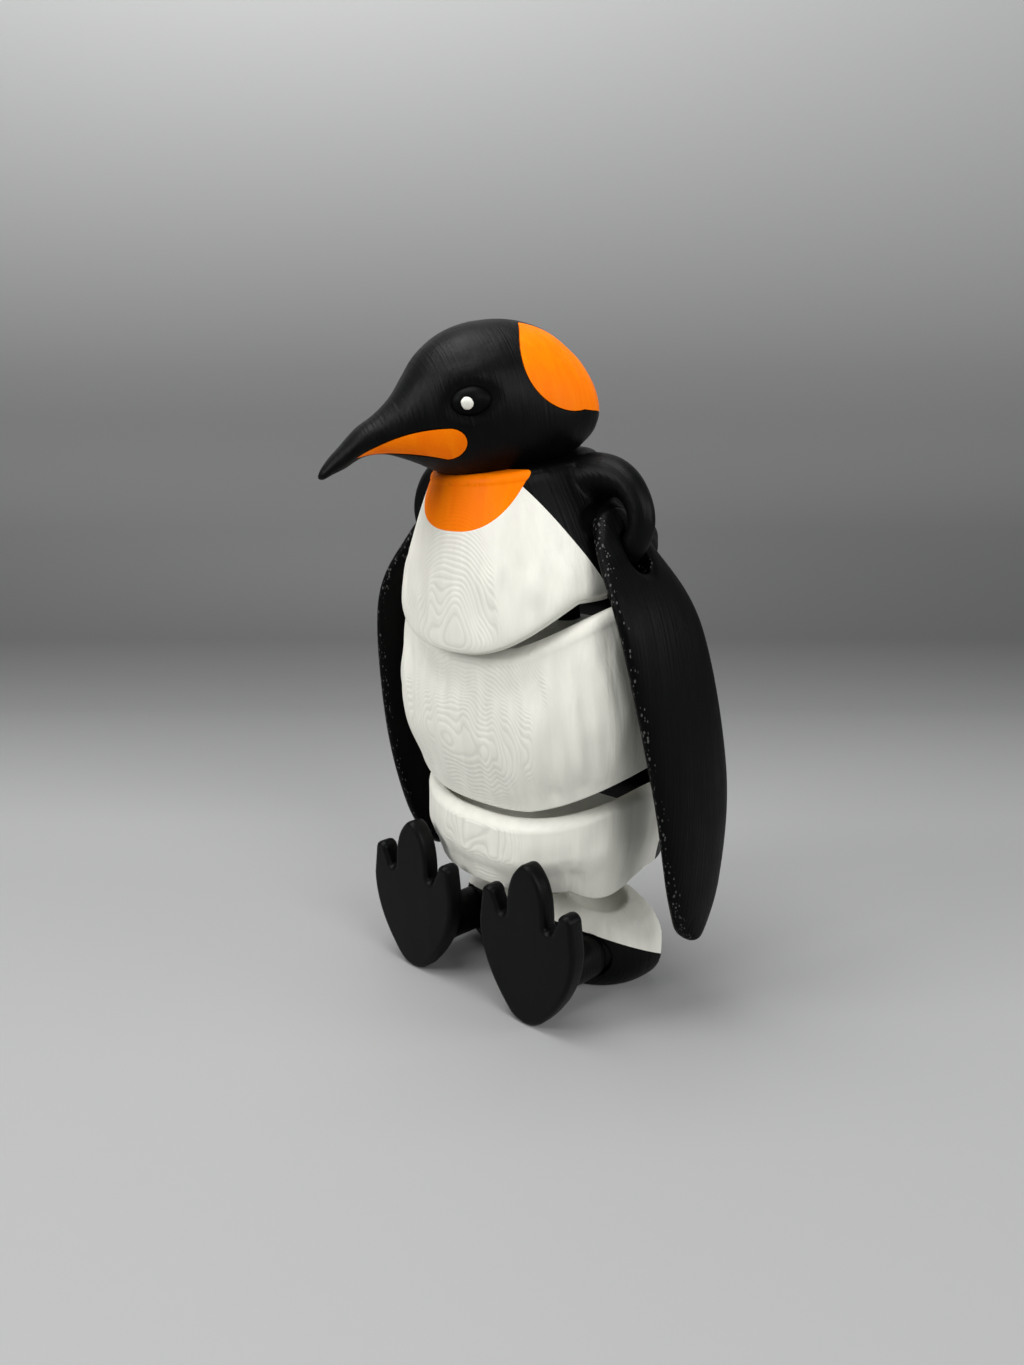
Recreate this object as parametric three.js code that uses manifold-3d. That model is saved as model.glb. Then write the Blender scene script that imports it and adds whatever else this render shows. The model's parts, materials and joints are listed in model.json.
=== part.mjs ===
// Articulated penguin figure, printed in place in black, white and orange plastic.
// It sits on the flat back of its pelvis with its legs out in front.
// Millimetres, +Z up. The figure faces -Y and its left side is +X.
// The origin is on the flat seat face, straight below the hip axis.

import * as THREE from 'three';
import { mergeVertices } from 'three/addons/utils/BufferGeometryUtils.js';
import Module from 'manifold-3d';

const wasm = await Module();
wasm.setup();

const { degToRad, lerp } = THREE.MathUtils;

// Clearances
const COLOUR_GAP = 0.3; // between two colours that are printed side by side
const RUNNING_GAP = 0.45; // between a link and what it turns on
const STOP_GAP = 0.4; // between two front edges that rest on each other
const SWING_GAP = 1; // round what swings in a pocket

// Posture
const BELLY_LEAN = degToRad(8);
const CHEST_LEAN = degToRad(8);
const NECK_LEAN = degToRad(-4.5);
const HEAD_TURN = degToRad(-24);
const TORSO_LEAN = BELLY_LEAN + CHEST_LEAN;

// Torso sections
const BED_DEPTH = 24; // from the links' axes to the back, which is printed flat on the bed
const SECTION_POWER = 2.5; // 2 would be an ellipse
const SECTION_FORWARD = 5; // how far the widest part lies ahead of the links
const LIP_RADIUS = 1; // bottom edge of a torso segment
const SHOULDER_RADIUS = 4; // top edge of a torso segment
const DISH_DEPTH = 5; // hollow of a torso segment's top
const DISH_RUN = 6; // over which it falls from the edge
const WAIST_DROP = 9; // how far the seam under the belly dips at the front
const RIB_DROP = 13; // how far the seam under the chest dips at the front
const SEAM_POWER = 2; // how sharply a top edge dips towards the front
const LIP_POWER = 3; // how sharply a bottom edge dips there
const LOBE_POWER = 3; // how soon an edge's lobes die away over the segment's height

// Lower segment, measured from the hip axis
const LOWER_BOTTOM = 10;
const LOWER_HEIGHT = 23.5;
const LOWER_BOTTOM_WIDTH = 31;
const LOWER_MIDDLE_WIDTH = 34.5;
const LOWER_TOP_WIDTH = 34;
const LOWER_FRONT = 33.5;
const LOWER_DROP = 6; // front lobe of the bottom edge
const FLANK_LOBE = 5; // lobes of the bottom edge over the thighs
const FLANK_LOBE_ANGLE = degToRad(70); // from the front
const FLANK_LOBE_SPAN = degToRad(24);

// Belly segment
const BELLY_HEIGHT = 44.1;
const BELLY_BOTTOM_WIDTH = 38.5;
const BELLY_MIDDLE_WIDTH = 41.5;
const BELLY_TOP_WIDTH = 37.5;
const BELLY_FRONT = 35;
const BELLY_ARCH = 4; // how far the bottom edge rises on both sides
const BELLY_ARCH_ANGLE = degToRad(90); // from the front
const BELLY_ARCH_SPAN = degToRad(70);
const BELLY_RIM = 4; // how far the top edge rises on both sides
const BELLY_RIM_ANGLE = degToRad(60);
const BELLY_RIM_SPAN = degToRad(40);

// Chest segment
const CHEST_HEIGHT = 26.7;
const CHEST_BOTTOM_WIDTH = 31.5;
const CHEST_WIDEST = 32;
const CHEST_WIDEST_HEIGHT = 7;
const CHEST_SHOULDER_WIDTH = 25.5;
const CHEST_SHOULDER_HEIGHT = 19;
const CHEST_FRONT = 37;
const RIB_LOBE = 5; // lobes of the bottom edge beside the belly
const RIB_LOBE_ANGLE = degToRad(95); // from the front
const RIB_LOBE_SPAN = degToRad(30);
const NECK_WIDTH = 19;
const NECK_ROUND = 2;
const NECK_FORWARD = 4.5; // ahead of the links

// Colour borders
const BACK_BORDER = 4; // behind the middle of the lower and belly segments
const MANTLE_BORDER = 12.7; // ahead of the links, at the bottom of the chest
const MANTLE_TILT = degToRad(11.5);
const BIB_START = 15; // ahead of the links, where the bib runs out at the neck
const BIB_TILT = degToRad(40);
const SEAT_BORDER = 10; // height above the seat, under the hip axis
const SEAT_BORDER_TILT = degToRad(26);

// Links between the torso segments
const LINK_RADIUS = 3;
const LINK_WALL = 3.2;
const LINK_WIDTH = 6;
const LINK_POST_DEPTH = 14;
const LINK_STEM_DEPTH = 9;

// Pelvis
const HIP_POST_DEPTH = 20;
const PELVIS_WIDTH = 32.5;
const PELVIS_DEPTH = 22;
const PELVIS_THICKNESS = 16;
const PELVIS_MIDDLE_HEIGHT = 10;
const PELVIS_MIDDLE_BACK = 4; // behind the hip axis
const PELVIS_END = 6; // flat rear end, behind the hip axis

// Legs and feet
const LEG_SPREAD = 21.3;
const LEG_HEIGHT = 10;
const LEG_BALL_FORWARD = 5;
const LEG_BALL_RADIUS = 7.5;
const LEG_RADIUS = 6;
const FOOT_REACH = 32.5; // from the middle of the ball to the sole
const FOOT_THICKNESS = 5;
const FOOT_BEVEL = 1.2;
const FOOT_HALF_WIDTH = 16;
const FOOT_WIDEST = 24; // above the heel
const HEEL_RADIUS = 8;
const HEEL_SPAN = degToRad(45); // half of the heel's round
const OUTER_TOE_ROUND = 2.2;
const OUTER_TOE_LEAN = 1; // how far its end lies in from the foot's side
const OUTER_TOE_LENGTH = 9.6; // beyond the foot's widest part
const TOE_NOTCH_DEPTH = 6.2; // from the outer toes' ends
const TOE_NOTCH_WIDTH = 2.8;
const MIDDLE_TOE_HALF_WIDTH = 6.4;
const MIDDLE_TOE_LENGTH = 9.2; // beyond the outer toes
const MIDDLE_TOE_SHOULDER = 4; // how far its sides draw in below its end

// Shoulder rings, in the chest's frame
const RING_SPREAD = 28;
const RING_FORWARD = 4;
const RING_HEIGHT = 16.5;
const RING_RADIUS = 9.4;
const RING_TUBE = 3.3;
const ARM_ROOT_SPREAD = 16;
const ARM_ROOT_HEIGHT = 21;
const ARM_ROOT_RADIUS = 7;

// Wings, measured from the middle of the ring
const WING_THICKNESS = 6.4;
const WING_SIDE_GAP = 2.2; // from the belly to the wing beside it
const WING_TOP_SLANT = degToRad(34);
const WING_EYE_WALL = 4.5;
const WING_SLOT_LENGTH = 3; // below the ring's tube
const WING_BEND_DROP = 26;
const WING_BEND_SWEEP = 2; // how far the bend hangs behind the ring
const WING_MIDDLE_DROP = 62;
const WING_MIDDLE_SWEEP = 7.5;
const WING_LOW_DROP = 90;
const WING_LOW_SWEEP = 10.5;
const WING_TIP_DROP = 105;
const WING_TIP_SWEEP = 12;
const WING_SPLAY = 1.6; // how far the wing's middle hangs out from the belly
const WING_TIP_TUCK = 2; // how far the tip comes in again
const WING_END_CHORD = 9;
const WING_EYE_CHORD = 20;
const WING_BEND_CHORD = 30;
const WING_MIDDLE_CHORD = 29;
const WING_LOW_CHORD = 20;
const WING_TIP_CHORD = 6;

// Neck stud, in the neck's frame
const NECK_BALL_RADIUS = 7;
const NECK_BALL_HEIGHT = 9;
const NECK_STEM_RADIUS = 4.5;
const NECK_STEM_DEPTH = 10;

// Head, in its own frame on the neck
const SKULL_WIDTH = 19.5;
const SKULL_LENGTH = 25;
const SKULL_TOP = 22;
const SKULL_BOTTOM = 16;
const SKULL_HEIGHT = 11.5;
const SKULL_FORWARD = 1.5;
const SKULL_RAKE = 0.12; // forward shift with height
const BEAK_ROOT = 12;
const BEAK_TIP = 48;
const BEAK_ROOT_HEIGHT = 16;
const BEAK_TIP_HEIGHT = 5;
const BEAK_ROOT_HALF_WIDTH = 12;
const BEAK_ROOT_HALF_HEIGHT = 12;
const BEAK_TIP_RADIUS = 1;
const BEAK_HOLLOW = 0.45; // how far the beak's sides draw in between root and tip
const BEAK_HOOK = 1.3; // 1 would be a straight beak

// Colour patches and eyes of the head
const PATCH_DEPTH = 2;
const EAR_BACK = 14;
const EAR_HEIGHT = 22.5;
const EAR_LENGTH = 14.3;
const EAR_RISE = 12;
const EAR_PARTING = 5; // half of the black strip between the two patches
const STRIPE_START = 19.5;
const STRIPE_END = 39;
const STRIPE_ROOT_HEIGHT = 8.2;
const STRIPE_TIP_HEIGHT = 8;
const STRIPE_TOP = 12.5; // how high the upper edge is drawn up between its ends
const STRIPE_BOTTOM = 8.3; // how high the lower edge is drawn up between its ends
const STRIPE_HALF_RISE = 3.6;
const STRIPE_PARTING = 1.5; // half of the black strip under the beak
const EYE_FORWARD = 13.2;
const EYE_HEIGHT = 16.9;
const EYE_INSET = 4.9; // from the skull's side to the eye's middle
const EYE_TURN = degToRad(19);
const EYE_DEPTH = 3;
const EYE_HALF_LENGTH = 4.7;
const EYE_HALF_RISE = 3.4;
const GLINT_RADIUS = 1.8;
const GLINT_DEPTH = 0.8;
const GLINT_FORWARD = 0.8; // ahead of the eye's middle

// Fineness of the round shapes
const SECTION_STEPS = 32;
const SIDE_STEPS = 6;
const EDGE_STEPS = 3;
const ROUND_STEPS = 12;
const BALL_STEPS = 16;
const DOT_STEPS = 8;
const EGG_STEPS = 24;
const WING_STEPS = 14;
const BEAK_STEPS = 6;
const TOE_STEPS = 3;

// Plastics
const BLACK = { color: 0x111112, roughness: 0.55, metalness: 0 };
const WHITE = { color: 0xe9e6de, roughness: 0.5, metalness: 0 };
const ORANGE = { color: 0xf57c0a, roughness: 0.5, metalness: 0 };

// Closeness at which two corners of a shape are one
const WELD = 1e-4;

// Turns a closed three.js geometry into a solid that can be joined and cut.
function solid(geometry) {
  const bare = geometry.clone();
  bare.deleteAttribute('normal');
  bare.deleteAttribute('uv');
  const merged = mergeVertices(bare, WELD);
  const corners = merged.index.array;
  const kept = [];
  for (let i = 0; i < corners.length; i += 3) {
    const [a, b, c] = corners.slice(i, i + 3);
    if (a !== b && b !== c && c !== a) {
      kept.push(a, b, c);
    }
  }
  return new wasm.Manifold(new wasm.Mesh({
    numProp: 3,
    vertProperties: new Float32Array(merged.attributes.position.array),
    triVerts: new Uint32Array(kept),
  }));
}

// Makes the named mesh of one piece from its finished solid.
function piece(name, body, plastic) {
  const { vertProperties, triVerts } = body.getMesh();
  const geometry = new THREE.BufferGeometry();
  geometry.setAttribute('position', new THREE.BufferAttribute(vertProperties, 3));
  geometry.setIndex(new THREE.BufferAttribute(triVerts, 1));
  geometry.computeVertexNormals();
  const mesh = new THREE.Mesh(geometry, new THREE.MeshStandardMaterial(plastic));
  mesh.name = name;
  return mesh;
}

// Moves every vertex of a geometry to where a function puts it.
function reshape(geometry, place) {
  const { position } = geometry.attributes;
  const vertex = new THREE.Vector3();
  for (let i = 0; i < position.count; i += 1) {
    vertex.fromBufferAttribute(position, i);
    place(vertex);
    position.setXYZ(i, vertex.x, vertex.y, vertex.z);
  }
  return geometry;
}

// A box given by its lowest and highest corner.
function block(low, high) {
  const size = new THREE.Vector3(...high).sub(new THREE.Vector3(...low));
  const geometry = new THREE.BoxGeometry(size.x, size.y, size.z);
  return geometry.translate(low[0] + size.x / 2, low[1] + size.y / 2, low[2] + size.z / 2);
}

// A cylinder along X about the origin.
function rollX(radius, halfLength) {
  return new THREE.CylinderGeometry(radius, radius, 2 * halfLength, ROUND_STEPS).rotateZ(Math.PI / 2);
}

// A cylinder along Z from one height to another.
function postZ(radius, low, high) {
  const geometry = new THREE.CylinderGeometry(radius, radius, high - low, ROUND_STEPS);
  return geometry.rotateX(Math.PI / 2).translate(0, 0, (low + high) / 2);
}

function ball(radius, steps) {
  return new THREE.SphereGeometry(radius, steps, steps / 2);
}

// Raises the size of a cosine or sine so that a circle becomes the torso's rounder section.
function squarer(value) {
  return Math.sign(value) * Math.abs(value) ** (2 / SECTION_POWER);
}

// Turns a lathe's profile of half widths and heights into a torso segment. Its depth differs
// in front and behind, its seams dip at the front, and its top may slope.
function segment({
  profile,
  widest,
  front,
  back,
  bottom,
  top,
  bottomDrop,
  topDrop,
  topSlope = 0,
  lobe = () => 0,
  rim = () => 0,
}) {
  const lathe = new THREE.LatheGeometry(profile, SECTION_STEPS).rotateX(Math.PI / 2);
  return solid(reshape(lathe, (v) => {
    const radius = Math.hypot(v.x, v.y);
    const across = radius > 0 ? v.x / radius : 0;
    const along = radius > 0 ? v.y / radius : 0;
    const rise = (v.z - bottom) / (top - bottom);
    const share = radius / widest;
    v.x = radius * squarer(across);
    const half = along < 0 ? front - SECTION_FORWARD : back + SECTION_FORWARD;
    v.y = share * (half * squarer(along) - SECTION_FORWARD);
    const ahead = Math.max(-v.y / front, 0);
    v.z -= lerp(bottomDrop * ahead ** LIP_POWER, topDrop * ahead ** SEAM_POWER, rise);
    v.z += v.y * Math.tan(topSlope) * rise;
    const angle = Math.atan2(Math.abs(across), -along);
    const edges = rim(angle) * rise ** LOBE_POWER - lobe(angle) * (1 - rise) ** LOBE_POWER;
    v.z += edges * share ** 2;
  }));
}

// Lobes of a segment's edge on both sides, which are deepest at an angle from the front.
function lobes(depth, middle, span) {
  return (angle) => depth * Math.cos(Math.min(Math.abs(angle - middle) / span, 1) * Math.PI / 2);
}

// A quarter round from the outside of a top edge to its flat face.
function topRound(width, top, radius) {
  const points = [];
  for (let i = 1; i <= EDGE_STEPS; i += 1) {
    const angle = (i / EDGE_STEPS) * Math.PI / 2;
    points.push(new THREE.Vector2(
      width - radius + radius * Math.cos(angle),
      top - radius + radius * Math.sin(angle),
    ));
  }
  return points;
}

// Profile of a segment with a crisp bottom lip, a rounded top edge and a hollow top.
function barrelProfile([bottomWidth, middleWidth, topWidth], bottom, top) {
  const side = new THREE.SplineCurve([
    new THREE.Vector2(bottomWidth, bottom + LIP_RADIUS),
    new THREE.Vector2(middleWidth, (bottom + top) / 2),
    new THREE.Vector2(topWidth, top - SHOULDER_RADIUS),
  ]);
  return [
    new THREE.Vector2(0, bottom),
    new THREE.Vector2(bottomWidth - LIP_RADIUS, bottom),
    ...side.getPoints(SIDE_STEPS),
    ...topRound(topWidth, top, SHOULDER_RADIUS),
    new THREE.Vector2(topWidth - SHOULDER_RADIUS - DISH_RUN, top - DISH_DEPTH),
    new THREE.Vector2(0, top - DISH_DEPTH),
  ];
}

// Everything in front of or behind a border plane that leans forward by a tilt.
function halfSpace(reach, border, tilt, side) {
  const depth = 2 * reach;
  const geometry = new THREE.BoxGeometry(2 * depth, depth, 2 * depth);
  geometry.translate(0, side * (reach + COLOUR_GAP / 2), 0);
  return solid(geometry.rotateX(tilt).translate(0, border, 0));
}

const FRONT = -1;
const BEHIND = 1;

// Gap between two torso segments at their middle, such that their front edges stop on each
// other when the upper one leans forward.
function seamGap(front, drop, lean) {
  const edge = front * Math.cos(lean) - drop * Math.sin(lean);
  const met = front * Math.sin(lean) + drop * Math.cos(lean) - drop * (edge / front) ** SEAM_POWER;
  return 2 * (STOP_GAP + met) / (1 + Math.cos(lean));
}

const WAIST_GAP = seamGap(BELLY_FRONT, WAIST_DROP, BELLY_LEAN);
const RIB_GAP = seamGap(CHEST_FRONT, RIB_DROP, CHEST_LEAN);

// Links: an eye under the upper segment turns on the bar of a loop on the lower one.
const EYE_OUTER = LINK_RADIUS + RUNNING_GAP + LINK_WALL;
const POST_SPREAD = LINK_WIDTH / 2 + SWING_GAP + LINK_RADIUS;

function linkEye(stem) {
  const outline = new THREE.Shape();
  outline.moveTo(EYE_OUTER, stem);
  outline.lineTo(-EYE_OUTER, stem);
  outline.lineTo(-EYE_OUTER, 0);
  outline.absarc(0, 0, EYE_OUTER, Math.PI, 2 * Math.PI, false);
  const bore = new THREE.Path();
  bore.absarc(0, 0, LINK_RADIUS + RUNNING_GAP, 0, 2 * Math.PI, true);
  outline.holes.push(bore);
  const plate = new THREE.ExtrudeGeometry(outline, {
    depth: LINK_WIDTH,
    bevelEnabled: false,
    curveSegments: ROUND_STEPS / 2,
  });
  const upright = new THREE.Matrix4().makeBasis(
    new THREE.Vector3(0, 1, 0),
    new THREE.Vector3(0, 0, 1),
    new THREE.Vector3(1, 0, 0),
  );
  return solid(plate.applyMatrix4(upright).translate(-LINK_WIDTH / 2, 0, 0));
}

function linkLoop(depth) {
  let loop = solid(rollX(LINK_RADIUS, POST_SPREAD));
  for (const side of [-1, 1]) {
    const post = postZ(LINK_RADIUS, -depth, 0).translate(side * POST_SPREAD, 0, 0);
    const corner = ball(LINK_RADIUS, ROUND_STEPS).translate(side * POST_SPREAD, 0, 0);
    loop = loop.add(solid(post)).add(solid(corner));
  }
  return loop;
}

// Room for a loop in the segment that carries it, and for the eye that swings on it.
function loopRoom(depth, above) {
  const round = LINK_RADIUS + COLOUR_GAP;
  const reach = POST_SPREAD + round;
  let room = solid(block([-reach, -round, -round], [reach, round, above]));
  for (const side of [-1, 1]) {
    const hole = postZ(round, -depth - COLOUR_GAP, 0).translate(side * POST_SPREAD, 0, 0);
    room = room.add(solid(hole));
  }
  return room.add(solid(rollX(EYE_OUTER + SWING_GAP, LINK_WIDTH / 2 + SWING_GAP)));
}

// Room for an eye's stem in the segment that it hangs from, and for the loop that it turns on.
function eyeRoom(stem) {
  const halfWidth = LINK_WIDTH / 2 + COLOUR_GAP;
  const halfDepth = EYE_OUTER + COLOUR_GAP;
  const low = [-halfWidth, -halfDepth, -EYE_OUTER];
  const socket = solid(block(low, [halfWidth, halfDepth, stem + COLOUR_GAP]));
  return socket.add(solid(rollX(LINK_RADIUS + SWING_GAP, POST_SPREAD + LINK_RADIUS + SWING_GAP)));
}

// Lower segment
const LOWER_TOP = LOWER_BOTTOM + LOWER_HEIGHT;
const WAIST_HEIGHT = LOWER_TOP + WAIST_GAP / 2;
const HIP_STEM = LOWER_BOTTOM + LINK_STEM_DEPTH;

function lowerPieces() {
  const widths = [LOWER_BOTTOM_WIDTH, LOWER_MIDDLE_WIDTH, LOWER_TOP_WIDTH];
  const whole = segment({
    profile: barrelProfile(widths, LOWER_BOTTOM, LOWER_TOP),
    widest: LOWER_MIDDLE_WIDTH,
    front: LOWER_FRONT,
    back: BED_DEPTH,
    bottom: LOWER_BOTTOM,
    top: LOWER_TOP,
    bottomDrop: LOWER_DROP,
    topDrop: WAIST_DROP,
    lobe: lobes(FLANK_LOBE, FLANK_LOBE_ANGLE, FLANK_LOBE_SPAN),
  });
  const loop = linkLoop(LINK_POST_DEPTH).translate([0, 0, WAIST_HEIGHT]);
  const body = whole
    .subtract(eyeRoom(HIP_STEM))
    .subtract(loopRoom(LINK_POST_DEPTH, WAIST_GAP).translate([0, 0, WAIST_HEIGHT]));
  const reach = 2 * LOWER_MIDDLE_WIDTH;
  return [
    piece('lower_front', body.intersect(halfSpace(reach, BACK_BORDER, 0, FRONT)), WHITE),
    piece('lower_back', body.intersect(halfSpace(reach, BACK_BORDER, 0, BEHIND)), BLACK),
    piece('lower_link_eye', linkEye(HIP_STEM), BLACK),
    piece('lower_link_loop', loop, BLACK),
  ];
}

// Belly segment
const BELLY_BOTTOM = WAIST_GAP / 2;
const BELLY_TOP = BELLY_BOTTOM + BELLY_HEIGHT;
const RIB_HEIGHT = BELLY_TOP + RIB_GAP / 2;
const WAIST_STEM = BELLY_BOTTOM + LINK_STEM_DEPTH;

function bellyPieces() {
  const widths = [BELLY_BOTTOM_WIDTH, BELLY_MIDDLE_WIDTH, BELLY_TOP_WIDTH];
  const whole = segment({
    profile: barrelProfile(widths, BELLY_BOTTOM, BELLY_TOP),
    widest: BELLY_MIDDLE_WIDTH,
    front: BELLY_FRONT,
    back: BED_DEPTH,
    bottom: BELLY_BOTTOM,
    top: BELLY_TOP,
    bottomDrop: WAIST_DROP,
    topDrop: RIB_DROP,
    lobe: lobes(-BELLY_ARCH, BELLY_ARCH_ANGLE, BELLY_ARCH_SPAN),
    rim: lobes(BELLY_RIM, BELLY_RIM_ANGLE, BELLY_RIM_SPAN),
  });
  const loop = linkLoop(LINK_POST_DEPTH).translate([0, 0, RIB_HEIGHT]);
  const body = whole
    .subtract(eyeRoom(WAIST_STEM))
    .subtract(loopRoom(LINK_POST_DEPTH, RIB_GAP).translate([0, 0, RIB_HEIGHT]));
  const reach = 2 * BELLY_MIDDLE_WIDTH;
  return [
    piece('belly_front', body.intersect(halfSpace(reach, BACK_BORDER, 0, FRONT)), WHITE),
    piece('belly_back', body.intersect(halfSpace(reach, BACK_BORDER, 0, BEHIND)), BLACK),
    piece('belly_link_eye', linkEye(WAIST_STEM), BLACK),
    piece('belly_link_loop', loop, BLACK),
  ];
}

// Wings. The middle line of a wing starts at its top end, inside the shoulder ring, slants out
// over the chest and then hangs down beside the belly. It is measured from the ring's middle.
const RING_HOLE = RING_RADIUS - RING_TUBE;
const SLOT_RADIUS = RING_TUBE + RUNNING_GAP;
const SLOT_TOP = RING_RADIUS - Math.sqrt(RING_HOLE ** 2 - (WING_THICKNESS / 2) ** 2) + RUNNING_GAP;
const WING_CLEAR = WING_SIDE_GAP + WING_THICKNESS / 2 - RING_SPREAD;
const WING_BEND_OUT = BELLY_TOP_WIDTH + WING_CLEAR;
const WING_MIDDLE_OUT = BELLY_MIDDLE_WIDTH + WING_CLEAR + WING_SPLAY;

function wingDown(side) {
  return new THREE.Vector3(side * Math.sin(WING_TOP_SLANT), 0, -Math.cos(WING_TOP_SLANT));
}

function wingBlade(side, grow) {
  const down = wingDown(side);
  const hold = down.clone().multiplyScalar(RING_RADIUS);
  const middleLine = new THREE.CatmullRomCurve3([
    hold.clone().addScaledVector(down, -SLOT_TOP - WING_EYE_WALL - grow),
    hold,
    new THREE.Vector3(side * WING_BEND_OUT, WING_BEND_SWEEP, -WING_BEND_DROP),
    new THREE.Vector3(side * WING_MIDDLE_OUT, WING_MIDDLE_SWEEP, -WING_MIDDLE_DROP),
    new THREE.Vector3(side * WING_MIDDLE_OUT, WING_LOW_SWEEP, -WING_LOW_DROP),
    new THREE.Vector3(side * (WING_MIDDLE_OUT - WING_TIP_TUCK), WING_TIP_SWEEP, -WING_TIP_DROP),
  ]);
  const chords = [
    WING_END_CHORD,
    WING_EYE_CHORD,
    WING_BEND_CHORD,
    WING_MIDDLE_CHORD,
    WING_LOW_CHORD,
    WING_TIP_CHORD,
  ];
  const chordLine = new THREE.SplineCurve(chords.map((chord, i) => new THREE.Vector2(i, chord)));
  const tube = new THREE.CylinderGeometry(1, 1, 2, ROUND_STEPS, WING_STEPS);
  return solid(reshape(tube, (v) => {
    const along = (1 - v.y) / 2;
    const tangent = middleLine.getTangent(along);
    const outward = new THREE.Vector3(-tangent.z, 0, tangent.x).normalize();
    const chordwise = -v.z * (chordLine.getPoint(along).y / 2 + grow);
    const thickness = v.x * (WING_THICKNESS / 2 + grow);
    v.copy(middleLine.getPoint(along)).addScaledVector(outward, thickness);
    v.y += chordwise;
  }));
}

function wingSlot(side) {
  const down = wingDown(side);
  const hold = down.clone().multiplyScalar(RING_RADIUS);
  const outline = new THREE.Shape();
  outline.absarc(0, SLOT_TOP - SLOT_RADIUS, SLOT_RADIUS, 0, Math.PI, false);
  outline.absarc(0, -WING_SLOT_LENGTH, SLOT_RADIUS, Math.PI, 2 * Math.PI, false);
  const slot = new THREE.ExtrudeGeometry(outline, {
    depth: RING_HOLE + WING_THICKNESS,
    bevelEnabled: false,
    curveSegments: ROUND_STEPS / 2,
  });
  const chordwise = new THREE.Vector3(0, 1, 0);
  const up = down.clone().negate();
  const through = new THREE.Matrix4().makeBasis(chordwise, up, chordwise.clone().cross(up));
  slot.translate(0, 0, -(RING_HOLE + WING_THICKNESS) / 2).applyMatrix4(through);
  return solid(slot.translate(hold.x, hold.y, hold.z));
}

// Chest segment with its bib, mantle, shoulder rings and neck stud
const CHEST_BOTTOM = RIB_GAP / 2;
const NECK_HEIGHT = CHEST_BOTTOM + CHEST_HEIGHT;
const RIB_STEM = CHEST_BOTTOM + LINK_STEM_DEPTH;

function chestBody(grow) {
  const top = NECK_HEIGHT + grow;
  const side = new THREE.SplineCurve([
    new THREE.Vector2(CHEST_BOTTOM_WIDTH + grow, CHEST_BOTTOM + LIP_RADIUS),
    new THREE.Vector2(CHEST_WIDEST + grow, CHEST_WIDEST_HEIGHT),
    new THREE.Vector2(CHEST_SHOULDER_WIDTH + grow, CHEST_SHOULDER_HEIGHT),
    new THREE.Vector2(NECK_WIDTH + grow, top - NECK_ROUND),
  ]);
  return segment({
    profile: [
      new THREE.Vector2(0, CHEST_BOTTOM),
      new THREE.Vector2(CHEST_BOTTOM_WIDTH + grow - LIP_RADIUS, CHEST_BOTTOM),
      ...side.getPoints(2 * SIDE_STEPS),
      ...topRound(NECK_WIDTH + grow, top, NECK_ROUND),
      new THREE.Vector2(0, top),
    ],
    widest: CHEST_WIDEST,
    front: CHEST_FRONT,
    back: BED_DEPTH,
    bottom: CHEST_BOTTOM,
    top,
    bottomDrop: RIB_DROP,
    topDrop: 0,
    topSlope: NECK_LEAN,
    lobe: lobes(RIB_LOBE, RIB_LOBE_ANGLE, RIB_LOBE_SPAN),
  });
}

function atNeck(body) {
  const leaning = body.rotate([THREE.MathUtils.radToDeg(NECK_LEAN), 0, 0]);
  return leaning.translate([0, -NECK_FORWARD, NECK_HEIGHT]);
}

function neckStud() {
  const stem = solid(postZ(NECK_STEM_RADIUS, -NECK_STEM_DEPTH, NECK_BALL_HEIGHT));
  const stud = stem.add(solid(ball(NECK_BALL_RADIUS, BALL_STEPS).translate(0, 0, NECK_BALL_HEIGHT)));
  return atNeck(stud);
}

// Root of a shoulder ring. It rises out of the mantle and tapers to the ring's top.
function armRoot(side) {
  const start = new THREE.Vector3(side * ARM_ROOT_SPREAD, 0, ARM_ROOT_HEIGHT);
  const end = new THREE.Vector3(0, 0, RING_RADIUS).applyEuler(new THREE.Euler(-TORSO_LEAN, 0, 0));
  end.add(new THREE.Vector3(side * RING_SPREAD, -RING_FORWARD, RING_HEIGHT));
  const along = end.clone().sub(start);
  const length = along.length();
  const taper = new THREE.CylinderGeometry(RING_TUBE, ARM_ROOT_RADIUS, length, ROUND_STEPS);
  const turn = new THREE.Quaternion().setFromUnitVectors(new THREE.Vector3(0, 1, 0), along.normalize());
  taper.translate(0, length / 2, 0).applyQuaternion(turn);
  return solid(taper.translate(start.x, start.y, start.z));
}

function shoulderRing(side) {
  const tube = [];
  for (let i = 0; i <= ROUND_STEPS; i += 1) {
    const angle = (i / ROUND_STEPS) * 2 * Math.PI;
    tube.push(new THREE.Vector2(
      RING_RADIUS + RING_TUBE * Math.cos(angle),
      RING_TUBE * Math.sin(angle),
    ));
  }
  const ring = new THREE.LatheGeometry(tube, EGG_STEPS).rotateX(-TORSO_LEAN);
  return solid(ring.translate(side * RING_SPREAD, -RING_FORWARD, RING_HEIGHT));
}

// Hollow beside a shoulder ring, in which the wing lies and its top end turns.
function wingRoom(side) {
  const halfLength = WING_EYE_CHORD / 2 - SWING_GAP; // the wing is narrower at its end
  const roll = new THREE.CylinderGeometry(RING_HOLE, RING_HOLE, 2 * halfLength, ROUND_STEPS);
  const room = solid(roll).add(wingBlade(side, SWING_GAP));
  const lean = THREE.MathUtils.radToDeg(TORSO_LEAN);
  return room.rotate([-lean, 0, 0]).translate([side * RING_SPREAD, -RING_FORWARD, RING_HEIGHT]);
}

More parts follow.
